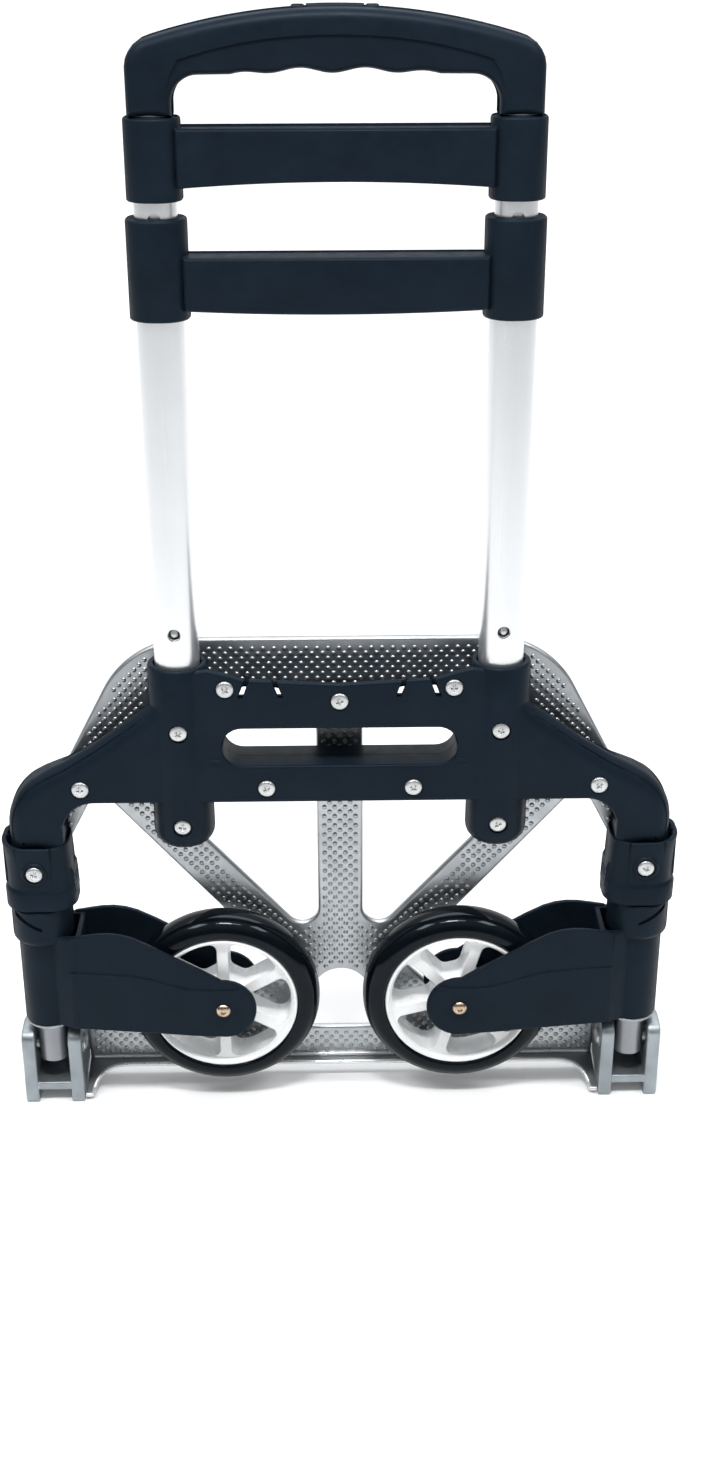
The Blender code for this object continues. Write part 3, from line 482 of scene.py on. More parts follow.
def sweep(name, path, radius, slot, count=12):
    """A round bar along 3-D points, closed at its ends."""
    points = [Vector(point) for point in path]
    layers = []
    for k, point in enumerate(points):
        way = (points[min(k + 1, len(points) - 1)] - points[max(k - 1, 0)]).normalized()
        side = way.cross(Vector((0, 0, 1)) if abs(way.z) < 0.9 else Vector((1, 0, 0))).normalized()
        other = way.cross(side)
        layers.append([[point + (side * u + other * v) for u, v in circle(0, 0, radius, count)]])
    return skin(name, layers, slot)


def joined(name, things):
    """Several meshes as one object; each part keeps its own finish."""
    first, *rest = things
    materials = list(dict.fromkeys(material for thing in things
                                   for material in thing.data.materials))
    bm = bmesh.new()
    for thing in things:
        start = len(bm.faces)
        bm.from_mesh(thing.data)
        bm.faces.ensure_lookup_table()
        for face in bm.faces[start:]:
            face.material_index = materials.index(thing.data.materials[face.material_index])
    mesh = to_mesh(name, bm)
    for material in materials:
        mesh.materials.append(material)
    for thing in rest:
        bpy.data.objects.remove(thing)
    first.data = mesh
    first.name = name
    return first


def carve(target, *tools):
    """Cut each tool out of the target, then discard the tools."""
    for tool in tools:
        modifier = target.modifiers.new("cut", "BOOLEAN")
        modifier.object = tool
        modifier.operation = "DIFFERENCE"
        modifier.solver = "EXACT"
        graph = bpy.context.evaluated_depsgraph_get()
        made = bpy.data.meshes.new_from_object(target.evaluated_get(graph))
        target.modifiers.clear()
        target.data = made
        bpy.data.objects.remove(tool)
    smooth(target.data)
    return target


def settle(piece, node):
    """The piece rides with the CAD node that it stands for."""
    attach(piece, BODY_OF[node])
    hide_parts(node)
    return piece


def assemble(node, parts):
    return settle(joined(f"{node}_skin", parts), node)


def on_both_sides(*builders):
    for label, side in SIDES.items():
        for build in builders:
            build(label, side)


def turn_node(node, profile, centre, slot, axis="Z", count=64, **more):
    return settle(turned(f"{node}_skin", profile, centre, slot, axis, count, **more), node)


# ---- camera, room

def camera():
    """Looks down at the truck's rear side; its place is in metres."""
    place = (-0.0071, -0.9292, 0.6822)
    pitch, yaw, roll = (radians(value) for value in (25.09, 0.91, -0.17))
    ahead = Vector((sin(yaw) * cos(pitch), cos(yaw) * cos(pitch), -sin(pitch)))
    right = Vector((cos(yaw), -sin(yaw), 0.0))
    up = right.cross(ahead)
    tilted = cos(roll) * right + sin(roll) * up
    above = cos(roll) * up - sin(roll) * right
    data = bpy.data.cameras.new("camera")
    data.sensor_width = 36.0
    data.lens = 43.99
    thing = in_scene("camera", data)
    columns = Matrix((tilted, above, -ahead)).transposed()
    thing.matrix_world = Matrix.Translation(place) @ columns.to_4x4()
    scene.camera = thing


def backdrop():
    """A paper floor that curves up into a low wall; sizes in metres."""
    near, bend, radius, top, half = -6.0, 1.6, 1.4, 1.5, 7.0
    profile = [(near, 0.0), (bend, 0.0)]
    profile += [(bend + radius * sin(a), radius - radius * cos(a))
                for a in (radians(9 * k) for k in range(1, 11))]
    profile.append((bend + radius, top))
    mesh = bpy.data.meshes.new("backdrop")
    mesh.from_pydata([(x, y, z) for y, z in profile for x in (-half, half)], [],
                     [(k, k + 1, k + 3, k + 2) for k in range(0, 2 * len(profile) - 2, 2)])
    mesh.shade_smooth()
    paper = bpy.data.materials.new("backdrop_paper")
    make = Shader(paper)
    bsdf = make.nodes["Principled BSDF"]
    tint = make.mix(make.noise(3.0, 3.0), (0.90, 0.90, 0.905), (0.92, 0.92, 0.92))
    make.link(tint, bsdf.inputs["Base Color"])
    tune(bsdf, {"Roughness": 0.75, "Specular IOR Level": 0.2, "Emission Strength": 0.06,
                "Emission Color": (1.0, 1.0, 1.0, 1.0)})
    mesh.materials.append(paper)
    in_scene("backdrop", mesh)


def area_light(name, place, target, size, power):
    data = bpy.data.lights.new(name, "AREA")
    data.shape = "RECTANGLE"
    data.size, data.size_y = size
    data.energy = power
    thing = in_scene(name, data)
    thing.location = place
    way = Vector(target) - Vector(place)
    thing.rotation_euler = way.to_track_quat("-Z", "Y").to_euler()


def room():
    """Soft white studio: bright above and behind, dim on the camera's side."""
    world = bpy.data.worlds.new("studio")
    scene.world = world
    make = Shader(world)
    split = make.add("ShaderNodeSeparateXYZ")
    make.link(make.coordinates["Generated"], split.inputs["Vector"])
    total = make.add("ShaderNodeMath")
    for socket, axis, numbers in ((0, "Y", (-0.35, 0.35, 0.08, 0.34)),
                                  (1, "Z", (0.30, 0.80, 0.0, 0.62))):
        share = make.spread(split.outputs[axis], *numbers, interpolation_type="SMOOTHSTEP")
        make.link(share, total.inputs[socket])
    sky = make.nodes["Background"]
    make.link(total.outputs[0], sky.inputs["Strength"])
    sky.inputs["Color"].default_value = (0.96, 0.985, 1.0, 1.0)
    area_light("key", (-0.05, -0.68, 1.75), (0, 0, 0.2), (0.34, 0.15), 10.5)
    area_light("top", (0.0, -0.48, 1.22), (0, 0, 0.58), (0.5, 0.1), 2.6)
    area_light("left", (-0.85, -0.6, 1.6), (-0.1, 0, 0.2), (0.45, 0.45), 8.2)
    area_light("right", (0.95, -0.5, 1.6), (0.1, 0, 0.2), (0.45, 0.45), 7.2)
    area_light("back", (0.0, 1.2, 2.2), (0, 2.1, 0.0), (3.0, 1.0), 40.0)
    scene.view_settings.view_transform = "Standard"


camera()
backdrop()
room()


# ---- fasteners

HEAD_R = 4.9
HEAD_TALL = 1.9
SHANK_R = 1.9
SHANK = 9.0
COUNTERBORE_R = 5.7


def screw_seat(node, facing=-1):
    """Depth at which the head sits; facing is the side of Y that the head looks to."""
    return low(node).y + HEAD_TALL if facing < 0 else high(node).y - HEAD_TALL


def screw(node, spin, facing=-1):
    """Pan head with a cross recess, turned by spin degrees."""
    centre = middle(node)
    face = low(node).y if facing < 0 else high(node).y
    seat = screw_seat(node, facing)
    tip = seat - facing * SHANK
    crown = 1.9
    profile = [(0, face), (1.5, face - facing * 0.02)]
    profile += [(HEAD_R - crown + crown * sin(a), face - facing * (0.35 + 1.1 * (1 - cos(a))))
                for a in (radians(15 * k) for k in range(7))]
    profile += [(HEAD_R, seat), (SHANK_R, seat), (SHANK_R, tip), (0, tip)]
    made = turned(f"{node}_head", profile, (centre.x, 0, centre.z), "zinc_screw", "Y", 40)
    turn = Matrix.Rotation(radians(spin), 2)
    layers = []
    for depth, arm, width in ((-1.0, 2.9, 0.72), (1.25, 1.35, 0.45)):
        quarter = [(arm, -width), (arm, width), (width, width)]
        cross = []
        for _ in range(4):
            cross += quarter
            quarter = [(-v, u) for u, v in quarter]
        spun = [turn @ Vector(point) for point in cross]
        layers.append(([[(centre.x + p.x, centre.z + p.y) for p in spun]], face - facing * depth))
    carve(made, loft("recess", layers, "zinc_screw"))
    settle(made, node)


def counterbore(node, facing=-1):
    """Tool for the hole that a screw's head sits in."""
    spot = middle(node)
    return rod((spot.x, 0, spot.z), COUNTERBORE_R, screw_seat(node, facing), facing * 40, "Y", 40)


# ---- telescopic tubes

def tube(node, x, radius, wall, hole_r, hole_heights):
    bottom, top = heights(node)
    inner = radius - wall
    profile = [(inner, bottom), (radius - 0.3, bottom), (radius, bottom + 0.3),
               (radius, top - 0.5), (radius - 0.4, top), (inner + 0.2, top), (inner, top - 0.3)]
    made = turned(f"{node}_skin", profile, (x, 0, 0), "anodised_tube", count=96, ring=True)
    carve(made, *[rod((x, 0, height), hole_r, -20, -4, "Y") for height in hole_heights])
    settle(made, node)


TUBES = {"outer": (TUBE_R, 1.2, 3.6, (LOCK_Z, LOCK_Z + TRAVEL)),
         "middle": (MIDDLE_R, 1.1, 3.2, (LOCK_Z, UPPER_LOCK_Z, UPPER_LOCK_Z + TRAVEL)),
         "inner": (INNER_R, 1.1, 2.8, (UPPER_LOCK_Z,))}
for label, side in SIDES.items():
    for stage, sizes in TUBES.items():
        tube(f"{label}_{stage}_tube", side * TUBE_X, *sizes)


# ---- main body

SHELL_DEPTH = 14.2
SLOT_Z = (233.0, 256.0)
SLOT_END = 67.0
SOCKET_R = 17.0
SOCKET_Z = (179.2, 292.6)
PANEL_SCREWS = [f"shell_screw_{k:02d}" for k in range(1, 12)]
# Slanted slits in the upper edge, rear and front: middle at the foot, middle at the top,
# height of the foot
SLIT_TALL = 15.0
SLIT_HALF = 1.5
SLITS = {-1: [(55.9, 50.6, 275.0), (32.8, 38.2, 275.0)],
         1: [(56.4, 50.7, 265.4), (34.6, 40.0, 265.4)]}


def body_outline(drop):
    """drop runs from 0 at the rear to 1 at the front, where the upper edge is lower."""
    half = [(0.0, 209.5), (70.0, 209.5)]
    half += arc(142.0, 191.0, 18.5, 90, 0, 10)
    half += [(160.5, 183.0), (160.5, 176.0), (176.5, 176.0), (192.5, 176.0), (192.5, 184.0)]
    half += arc(158.0, 193.5, 34.5, 2, 56, 12)
    upper = [(u, rear + drop * (front - rear)) for u, rear, front in (
        (170.6, 226.4, 225.8), (164.4, 229.9, 228.4), (158.0, 233.1, 230.9),
        (148.5, 239.2, 236.0), (139.0, 245.4, 241.2), (130.5, 251.6, 246.3),
        (122.0, 257.8, 251.5), (114.0, 263.5, 256.8), (108.0, 267.8, 261.2),
        (103.0, 271.8, 266.0), (98.0, 277.0, 271.0), (84.0 + drop * 2.0, 290.6, 274.8),
        (74.0, 292.4, 275.0), (64.0, 289.8, 273.2), (54.0, 286.6, 271.8), (0.0, 283.4, 270.0))]
    half += upper[:-1]
    return half + upper[-1:] + mirrored(half)[:-1]


def edge_radius(point):
    """Arms are rounded more than the panel's edges."""
    u, v = abs(point[0]), point[1]
    if v < 212.0 and u < 160.0 or u < 98.0:
        return 2.2
    if u < 166.0 and v < 212.0:
        return 5.0
    return min(9.5, 2.2 + (u - 98.0) * 0.7)


def body_slot():
    radius = (SLOT_Z[1] - SLOT_Z[0]) / 2
    centre = (SLOT_Z[0] + SLOT_Z[1]) / 2
    loop = arc(SLOT_END - radius, centre, radius, -90, 90, 14)
    loop += arc(-SLOT_END + radius, centre, radius, 90, 270, 14)
    return loop[::-1]


def half_disc(x, radius, face):
    start = 180 if face < 0 else 0
    return arc(x, face * SPLIT, radius, start, start + 180, 28)


def slit(side, face, foot_u, top_u, foot):
    outline = [(foot_u - SLIT_HALF, foot), (foot_u + SLIT_HALF, foot),
               (top_u + SLIT_HALF, foot + SLIT_TALL), (top_u - SLIT_HALF, foot + SLIT_TALL)]
    return prism("slit", on_side(outline, side), face * 5.0, face * 30.0)


def socket(side, face):
    """Half of the sleeve that an outer tube stands in."""
    bottom, top = SOCKET_Z
    lip = TUBE_R + 0.5
    foot = 9.5
    profile = [(SOCKET_R + 0.7 - foot * (1 - sin(radians(a))),
                bottom + foot * (1 - cos(radians(a)))) for a in range(0, 91, 15)]
    profile += [(SOCKET_R, top - 1.6), (SOCKET_R - 0.4, top - 0.7), (SOCKET_R - 1.2, top),
                (lip + 0.9, top), (lip + 0.2, top - 0.5), (lip, top - 1.6), (lip, top - 9.0)]
    return loft("socket", [([half_disc(side * TUBE_X, radius, face)], height)
                           for radius, height in profile], place=xy)


def main_shell(node, face):
    """Half of the moulded body, open towards the other half; face is its side of Y."""
    def outlines(y):
        return [body_outline(0.5 + face * y / SHELL_DEPTH / 2), body_slot()]

    loops = outlines(SHELL_DEPTH)
    radii = [[edge_radius(point) for point in loops[0]], [1.6] * len(loops[1])]
    layers = []
    for step in range(7):
        angle = radians(90 - 15 * step)
        layer = []
        for loop, radius in zip(loops, radii):
            flat = inset(loop, [r * (1 - cos(angle)) for r in radius])
            layer.append([(u, face * (SHELL_DEPTH - r * (1 - sin(angle))), v)
                          for (u, v), r in zip(flat, radius)])
        layers.append(layer)
    wall = 2.4
    for within, y in ((0.0, SPLIT), (wall, SPLIT), (wall, SHELL_DEPTH - 2.6)):
        layers.append([[(u, face * y, v) for u, v in inset(loop, within)]
                       for loop in outlines(y)])
    shell = skin(f"{node}_skin", layers)
    carve(shell, *[slit(side, face, *sizes) for side in SIDES.values() for sizes in SLITS[face]])
    parts = [shell] + [socket(side, face) for side in SIDES.values()]
    if face < 0:
        for name in PANEL_SCREWS:
            x = middle(name).x
            at_tube = abs(abs(x) - TUBE_X) < 2
            carve(parts[(1 if x < 0 else 2) if at_tube else 0], counterbore(name))
        for side in SIDES.values():
            parts.append(box("ledge", (side * SLOT_END, -15.0, 235.2), (side * 73.4, -12.0, 237.0),
                             radius=0.4))
    assemble(node, parts)


main_shell("main_rear_shell", -1)
main_shell("main_front_shell", 1)
for index, name in enumerate(PANEL_SCREWS):
    screw(name, 17.0 + 37.0 * index)


# ---- crossbars

def crossbar(node, half_u, half_v, bar_z, outer_r, inner_r, shoulder):
    """A bar between two sleeves.

    bar_z is (low in the middle, low at the ends, top). Each sleeve sits on a
    tube of radius outer_r, up to shoulder below its top, and lets the next
    tube of radius inner_r through.
    """
    bottom, top = heights(node)
    reach = TUBE_X - half_u + 2.5
    under = [(reach * k / 12, bar_z[0] + (bar_z[1] - bar_z[0]) * (k / 12) ** 2)
             for k in range(-12, 13)]
    loop = under + [(reach, bar_z[2]), (-reach, bar_z[2])]
    parts = [stack("bar", [loop], both_edges(11.6, -12.4, 2.4))]
    for side in SIDES.values():
        x = side * TUBE_X
        outline = rounded_box(x, 0, half_u, half_v, half_u - 2.0)
        sleeve = stack("sleeve", [outline], both_edges(top, bottom, 1.6, 4, 1.2, 3), place=xy)
        carve(sleeve, rod((x, 0, 0), outer_r + 0.15, bottom - 5, top - shoulder, "Z", 96),
              rod((x, 0, 0), inner_r + 0.2, bottom, top + 5, "Z", 96))
        rim = turned("rim", [(inner_r + 0.5, top - 0.6), (half_u - 2.2, top - 0.6),
                             (half_u - 2.4, top + 0.3), (inner_r + 0.8, top + 0.3)],
                     (x, 0, 0), count=72, ring=True)
        parts += [sleeve, rim]
        if bar_z[1] - 3.0 > bottom + 6.0:
            near, far = sorted((x - side * half_u, x - side * (half_u - 0.8)))
            parts.append(box("pad", (near - 0.25, -7.0, bottom + 4.0),
                             (far, 7.0, bar_z[1] - 3.0), radius=0.3))
    assemble(node, parts)


crossbar("lower_crossbar", 15.7, 15.0, (487.6, 489.6, 516.6), TUBE_R, MIDDLE_R, 3.9)
crossbar("upper_crossbar", 14.3, 14.0, (553.0, 550.0, 578.8), MIDDLE_R, INNER_R, 2.3)


# ---- handle

ARCH_R = 320.0
ARCH_TOP = 634.0
GRIP_Z = 590.0
GRIP_X = 67.0
BUMP_PITCH = 31.6


def handle_outline(within):
    """The grip's outline, moved inwards by within."""
    foot_z = low("handle_rear_shell").z - 0.8 + within
    radius = 13.2 + within
    arch = ARCH_R - within
    reach = degrees(asin((90.5 - 0.6 * within) / arch))
    half = high("handle_rear_shell").x - within
    outer = [(half, foot_z), (half, 600.0), (half, 607.2 - 0.3 * within)]
    outer += [(half - 0.7, 610.9 - 0.4 * within), (half - 2.4, 614.2 - 0.5 * within),
              (half - 5.0 + 0.1 * within, 617.4 - 0.6 * within),
              (half - 8.2 + 0.3 * within, 619.6 - 0.8 * within)]
    outer += arc(0.0, ARCH_TOP - ARCH_R, arch, 90 - reach, 90, 20)
    outer += mirrored(outer[:-1])
    corner = degrees(asin(max(0.0, (foot_z - GRIP_Z) / radius)))
    foot = (GRIP_X + radius * cos(radians(corner)), foot_z)
    right = arc(GRIP_X, GRIP_Z, radius, corner + 6, 90, 12)[::-1] + [foot]
    scallops = []
    for k in range(-32, 33):
        x = k * 1.6
        fade = max(0.0, 1.0 - (abs(x) / 52.0) ** 4)
        dip = 1.2 * fade * cos(2 * pi * (x + 1.4) / BUMP_PITCH)
        scallops.append((x, GRIP_Z + radius + 1.8 * fade - dip))
    return outer + mirrored(right) + scallops + right


def handle_shell(node, face):
    steps = []
    for step in range(9):
        angle = radians(90 - 11.25 * step)
        steps.append((6.2 * (1 - cos(angle)), 7.6 + 6.3 * sin(angle)))
    steps += [(0.0, SPLIT), (2.4, SPLIT), (3.4, 9.0)]
    shell = loft(f"{node}_skin", [([handle_outline(within)], face * depth)
                                  for within, depth in steps])
    crease = [(-76.0, 610.7)]
    crease += [(x, 621.7 - 11.0 * (abs(x) / 76.0) ** 2.2) for x in range(-72, 73, 4)]
    crease += [(76.0, 610.7), (80.0, 604.0), (83.0, 594.0), (83.0, 580.0), (-83.0, 580.0),
               (-83.0, 594.0), (-80.0, 604.0)]
    carve(shell, *[rod((side * TUBE_X, 0, 0), INNER_R + 0.15, 570, 605, "Z", 64)
                   for side in SIDES.values()],
          box("mouth", (-14.3, -6.4, 626.0), (14.3, 6.4, 645.0)),
          prism("lower_face", wound(crease), face * 12.9, face * 30.0))
    if face > 0:
        carve(shell, *[counterbore(f"{label}_handle_screw", 1) for label in SIDES])
    settle(shell, node)


def release_button():
    top = high("release_button").z
    crown = [(x, top - x * x / (2 * ARCH_R)) for x in range(14, -15, -2)]
    loop = [(-14.0, 617.0), (14.0, 617.0)] + crown
    settle(stack("cap", [loop], both_edges(6.0, -6.0, 1.3, 5)), "release_button")


def button_guides():
    """Two lugs that flank the button."""
    piece = joined("button_guides", [
        box("lug", (side * 14.9, -7.0, 628.0), (side * 21.5, 7.0, 634.4), radius=1.1)
        for side in SIDES.values()])
    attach(piece, "handle_stage")


handle_shell("handle_rear_shell", -1)
handle_shell("handle_front_shell", 1)
for label in SIDES:
    screw(f"{label}_handle_screw", 30.0, 1)
release_button()
button_guides()


# ---- posts and collars

COLLAR_X = 177.0


def collar(label, side):
    node = f"{label}_post_collar"
    centre = side * COLLAR_X
    bottom, top = heights(node)

    def around(half_u, half_v, radius, pinch=0.0):
        """Pinch narrows the side that looks to the truck's middle."""
        return [(centre + (u - centre) * (1.0 - pinch * ((u - centre) * side < 0)), v)
                for u, v in rounded_box(centre, 0, half_u, half_v, radius, 9)]

    def level(loop, z):
        return [[(u, v, z) for u, v in loop]]

    def rising(loop, z):
        """A level that rises towards the truck's outer side."""
        return [[(u, v, z - 4.0 + 2.2 * max(0.0, (u - centre) * side / 20.0) ** 3)
                 for u, v in loop]]

    layers = [level(around(*sizes), bottom + rise) for rise, *sizes in (
        (0.0, 20.2, 17.6, 14.0), (0.8, 21.0, 18.4, 14.8), (11.6, 21.2, 18.5, 15.0),
        (12.8, 20.6, 18.1, 14.6), (14.0, 19.7, 17.3, 14.0), (24.0, 19.7, 17.3, 14.0),
        (35.0, 20.2, 17.8, 14.2, 0.05))]
    layers += [rising(around(*sizes), top - fall) for fall, *sizes in (
        (2.0, 21.0, 18.5, 14.6, 0.10), (0.6, 20.8, 18.4, 14.4, 0.10),
        (0.0, 20.0, 17.7, 13.8, 0.09), (0.3, 18.4, 16.3, 12.6, 0.07),
        (3.0, 18.0, 15.9, 12.2, 0.06))]
    bore = rounded_box(side * POST_X, 0, POST_BORE, POST_BORE, POST_BORE, 9)
    layers += [level(around(16.0, 15.0, 11.0), bottom + 25.0), level(bore, bottom + 25.0),
               level(bore, bottom)]
    cup = skin(f"{node}_skin", layers, ring=True)
    holder = f"{label}_collar_screw"
    spot = middle(holder)
    carve(cup, *[box("groove", (u - 0.7, -30.0, bottom + 15.5), (u + 0.7, -16.7, top - 4.0))
                 for u in (spot.x - 10.2, spot.x + 10.2)])
    seat = screw_seat(holder)
    boss = turned("boss", [(0, -12), (7.4, -12), (7.4, seat - 0.5), (6.9, seat - 1.1),
                           (0, seat - 1.1)], (spot.x, 0, spot.z), axis="Y", count=48)
    carve(boss, counterbore(holder))
    lobe = [(162.0, bottom + 26.0), (158.6, bottom + 26.0), (156.8, bottom + 22.0),
            (156.2, bottom + 8.0), (157.6, bottom + 4.0), (162.0, bottom + 4.0)]
    parts = [cup, boss, stack("lobe", [on_side(lobe, side)], both_edges(9.0, -9.0, 1.4))]
    for k in range(4):
        z = bottom + 7.5 + 3.4 * k
        parts.append(box("rib", (side * (155.9 + 0.08 * k), -6.5, z),
                         (side * 162.0, 6.5, z + 1.3), radius=0.5))
    outer = side * (COLLAR_X + 19.4)
    for v in (-6.0, 0.0, 6.0):
        parts.append(box("rib", (outer - side * 2.0, v - 0.9, bottom + 15.0),
                         (outer + side * 1.0, v + 0.9, top - 3.0), radius=0.6))
    assemble(node, parts)
    screw(holder, 70.0)


def post(label, side):
    node = f"{label}_post"
    top = high(node).z
    wall = POST_R - 1.8
    end = PIN_Z - 8.6
    profile = [(wall, end), (POST_R - 0.5, end), (POST_R, end + 0.5), (POST_R, top), (wall, top)]
    made = turned(f"{node}_skin", profile, (side * POST_X, 0, 0), "post_steel", ring=True)
    settle(carve(made, rod((side * POST_X, 0, PIN_Z), PIN_BORE, -20, 20, "X")), node)


on_both_sides(post, collar)


# ---- wheel brackets

BRACKET_FOOT = 58.5
CHEEK = 3.7


def cheek_outline():
    loop = [(161.6, 58.6), (161.6, 121.8), (158.5, 122.3), (152.0, 123.4), (145.0, 124.4),
            (138.0, 124.6), (131.0, 123.6), (124.0, 121.3), (113.0, 115.5), (101.0, 108.3),
            (84.5, 98.9), (74.5, 92.6)]
    loop += arc(AXLE_X, AXLE_Z, 20.0, 88, 265, 22)
    return loop + [(92.0, 52.3), (113.0, 54.4), (138.0, 56.6)]


def bracket_sleeve(side, top):
    """Turned sleeve with two helical cam slots near its top."""
    x = side * POST_X
    foot = BRACKET_FOOT
    profile = [(POST_BORE, foot), (14.4, foot), (15.2, foot + 0.8), (15.2, 113.5), (15.5, 115.5),
               (17.2, 117.0), (18.0, 118.4), (18.2, 120.0), (18.2, top - 0.9), (17.6, top),
               (POST_BORE, top)]
    sleeve = turned("sleeve", profile, (x, 0, 0), count=80, ring=True)
    for first, last in ((-38.0, -96.0), (142.0, 84.0)):
        layers = []
        for step in range(9):
            share = step / 8
            angle = radians(first + (last - first) * share)
            centre = 137.2 - 9.4 * share
            half_gap = 1.9 - 0.7 * share
            under, over = centre - half_gap, centre + half_gap
            layers.append([[(x + side * radius * cos(angle), radius * sin(angle), z)
                            for radius, z in ((16.4, under), (21.0, under), (21.0, over),
                                              (16.4, over))]])
        carve(sleeve, skin("cam_slot", layers))
    return sleeve


def bracket_web(side):
    """The fork's root, around the sleeve."""
    corner = arc(160.6, FORK_Y - 5.98, 6.0, 62, 90, 4)
    step = [(158.6, FORK_Y + 0.02), (157.2, FORK_Y - 1.5), (156.2, FORK_Y - 1.5),
            (155.0, FORK_Y - 2.7)]
    plan = arc(POST_X, 0, 15.3, -116, 116, 24) + corner + step
    plan += [(u, -v) for u, v in step[::-1] + corner[::-1]]
    pairs = round_over(1.2, 121.2, 1, 3) + [(0.0, 59.3), (0.6, 58.7)]
    return stack("web", [on_side(plan, side)], pairs, place=xy)


def wheel_bracket(label, side):
    node = f"{label}_wheel_bracket"
    loop = on_side(cheek_outline(), side)
    # What is cut off a cheek's outer side, above the line that runs along the fork
    step = [(161.5, 98.5), (125.4, 95.4), (112.0, 92.3), (103.0, 88.9), (92.0, 85.8), (82.0, 84.4),
            (66.0, 84.8), (40.0, 92.0), (40.0, 140.0), (172.0, 140.0), (172.0, 99.4)]
    step = wound(on_side(step, side))
    web = bracket_web(side)
    carve(web, *[prism("step", step, face * (FORK_Y - 0.73), face * 40.0) for face in (-1, 1)],
          box("pocket", (side * 158.0, -13.2, 96.0), (side * 172.0, 13.2, 130.0), radius=1.5),
          rod((side * POST_X, 0, 0), POST_BORE, 40, 150, "Z", 64))
    parts = [bracket_sleeve(side, high(node).z), web]
    for face, hole_r in ((-1, 3.2), (1, 5.2)):
        pairs = both_edges(FORK_Y, FORK_Y - CHEEK, 1.5, 4, 0.8, 3)
        cheek = stack("cheek", [loop], [(d, face * y) for d, y in pairs])
        carve(cheek, prism("step", step, face * (FORK_Y - 0.75), face * 40.0),
              rod((side * AXLE_X, 0, AXLE_Z), hole_r, face * 12.0, face * 40.0, "Y"))
        parts.append(cheek)
    assemble(node, parts)


def axle_bolt(label, side):
    node = f"{label}_axle_bolt"
    x, z = side * AXLE_X, AXLE_Z
    face, end = low(node).y, high(node).y
    seat = -FORK_Y - 0.1
    profile = [(0, face), (1.4, face), (2.7, face + 0.25), (3.8, face + 0.9), (4.3, face + 1.6),
               (4.3, seat), (3.0, seat), (3.0, end - 0.4), (2.6, end), (0, end)]
    made = turned(f"{node}_skin", profile, (x, 0, z), "axle_steel", "Y", 40)
    star = []
    for k in range(12):
        radius = 1.9 if k % 2 else 1.3
        angle = radians(30 * k + 11)
        star.append((x + radius * cos(angle), z + radius * sin(angle)))
    settle(carve(made, prism("star", star, face - 2.0, face + 1.1, "axle_steel")), node)


def axle_nut(label, side):
    node = f"{label}_axle_nut"
    near, far = low(node).y, high(node).y
    hexagon = circle(side * AXLE_X, AXLE_Z, 4.8, 6)
    bore = circle(side * AXLE_X, AXLE_Z, 3.05, 24)[::-1]
    layers = [([inset(hexagon, 0.3), bore], near), ([hexagon, bore], near + 0.3),
              ([hexagon, bore], far - 0.3), ([inset(hexagon, 0.3), bore], far)]
    settle(loft(f"{node}_skin", layers, "axle_steel"), node)


def bracket_washer(label, side):
    node = f"{label}_bracket_washer"
    under, above = heights(node)
    profile = [(POST_BORE, under), (14.6, under), (15.0, under + 0.4), (15.0, above - 0.4),
               (14.6, above), (POST_BORE, above)]
    turn_node(node, profile, (side * POST_X, 0, 0), "cast_alloy", ring=True)


on_both_sides(wheel_bracket, axle_bolt, axle_nut, bracket_washer)


# ---- wheels

RIM_R = 44.7
BEAD_R = RIM_R + 0.15
SPOKES = 6
SPOKE_TURN = {"left": 30.0, "right": 14.0}


def spoke_window(turn, inner, outer, spoke_in, spoke_out, corner):
    """Clockwise rounded opening between two spokes that are 60 degrees apart."""
    gap_in = degrees(asin(spoke_in / inner))
    gap_out = degrees(asin(spoke_out / outer))
    start, end = turn + gap_out, turn + 60 - gap_out

    def polar(radius, angle, own):
        return (radius * cos(radians(angle)), radius * sin(radians(angle)), own)

    corners = [polar(inner, turn + 60 - gap_in, corner * 0.8),
               polar(inner, turn + gap_in, corner * 0.8), polar(outer, start, corner)]
    for k in range(5):
        corners.append(polar(outer, start + (end - start) * (0.27 + 0.115 * k), 0))
    corners.append(polar(outer, end, corner))
    return wound(rounded_corners(corners, corner, 5), -1)


def rim(label, side):
    """Spoked disc with a barrel around it and a hub in it."""
    node = f"{label}_wheel_rim"
    centre = (side * AXLE_X, 0, AXLE_Z)

    def place(u, v, height):
        return (centre[0] + u, height, centre[2] + v)

    layers = []
    for y, *sizes in ((-8.6, 15.0, 41.0, 3.4, 3.5, 4.2), (-8.1, 15.2, 41.2, 2.9, 3.0, 4.2),
                      (0.0, 16.4, 40.9, 3.1, 3.3, 5.2), (8.1, 17.6, 40.6, 3.4, 3.7, 6.2),
                      (8.6, 17.4, 40.9, 3.8, 4.1, 6.2)):
        windows = [spoke_window(SPOKE_TURN[label] + 60 * k, *sizes) for k in range(SPOKES)]
        layers.append(([circle(0, 0, 42.6, 72)] + windows, y))
    disc = loft("disc", layers, "white_rim", place, sharp=40)
    carve(disc, rod(centre, 3.2, -20, 20, "Y"))
    half_barrel = [(RIM_R, 11.3), (RIM_R - 0.5, 12.0), (43.2, 12.1), (42.6, 11.6), (41.6, 9.5),
                   (41.3, 7.0)]
    half_hub = [(3.2, 14.2), (9.0, 14.2), (10.2, 13.4), (10.9, 11.0), (12.4, 8.0)]
    barrel, hub = (turned("ring", [(r, -y) for r, y in half] + half[::-1], centre, "white_rim",
                          "Y", count, ring=True)
                   for half, count in ((half_barrel, 96), (half_hub, 56)))
    assemble(node, [disc, barrel, hub])


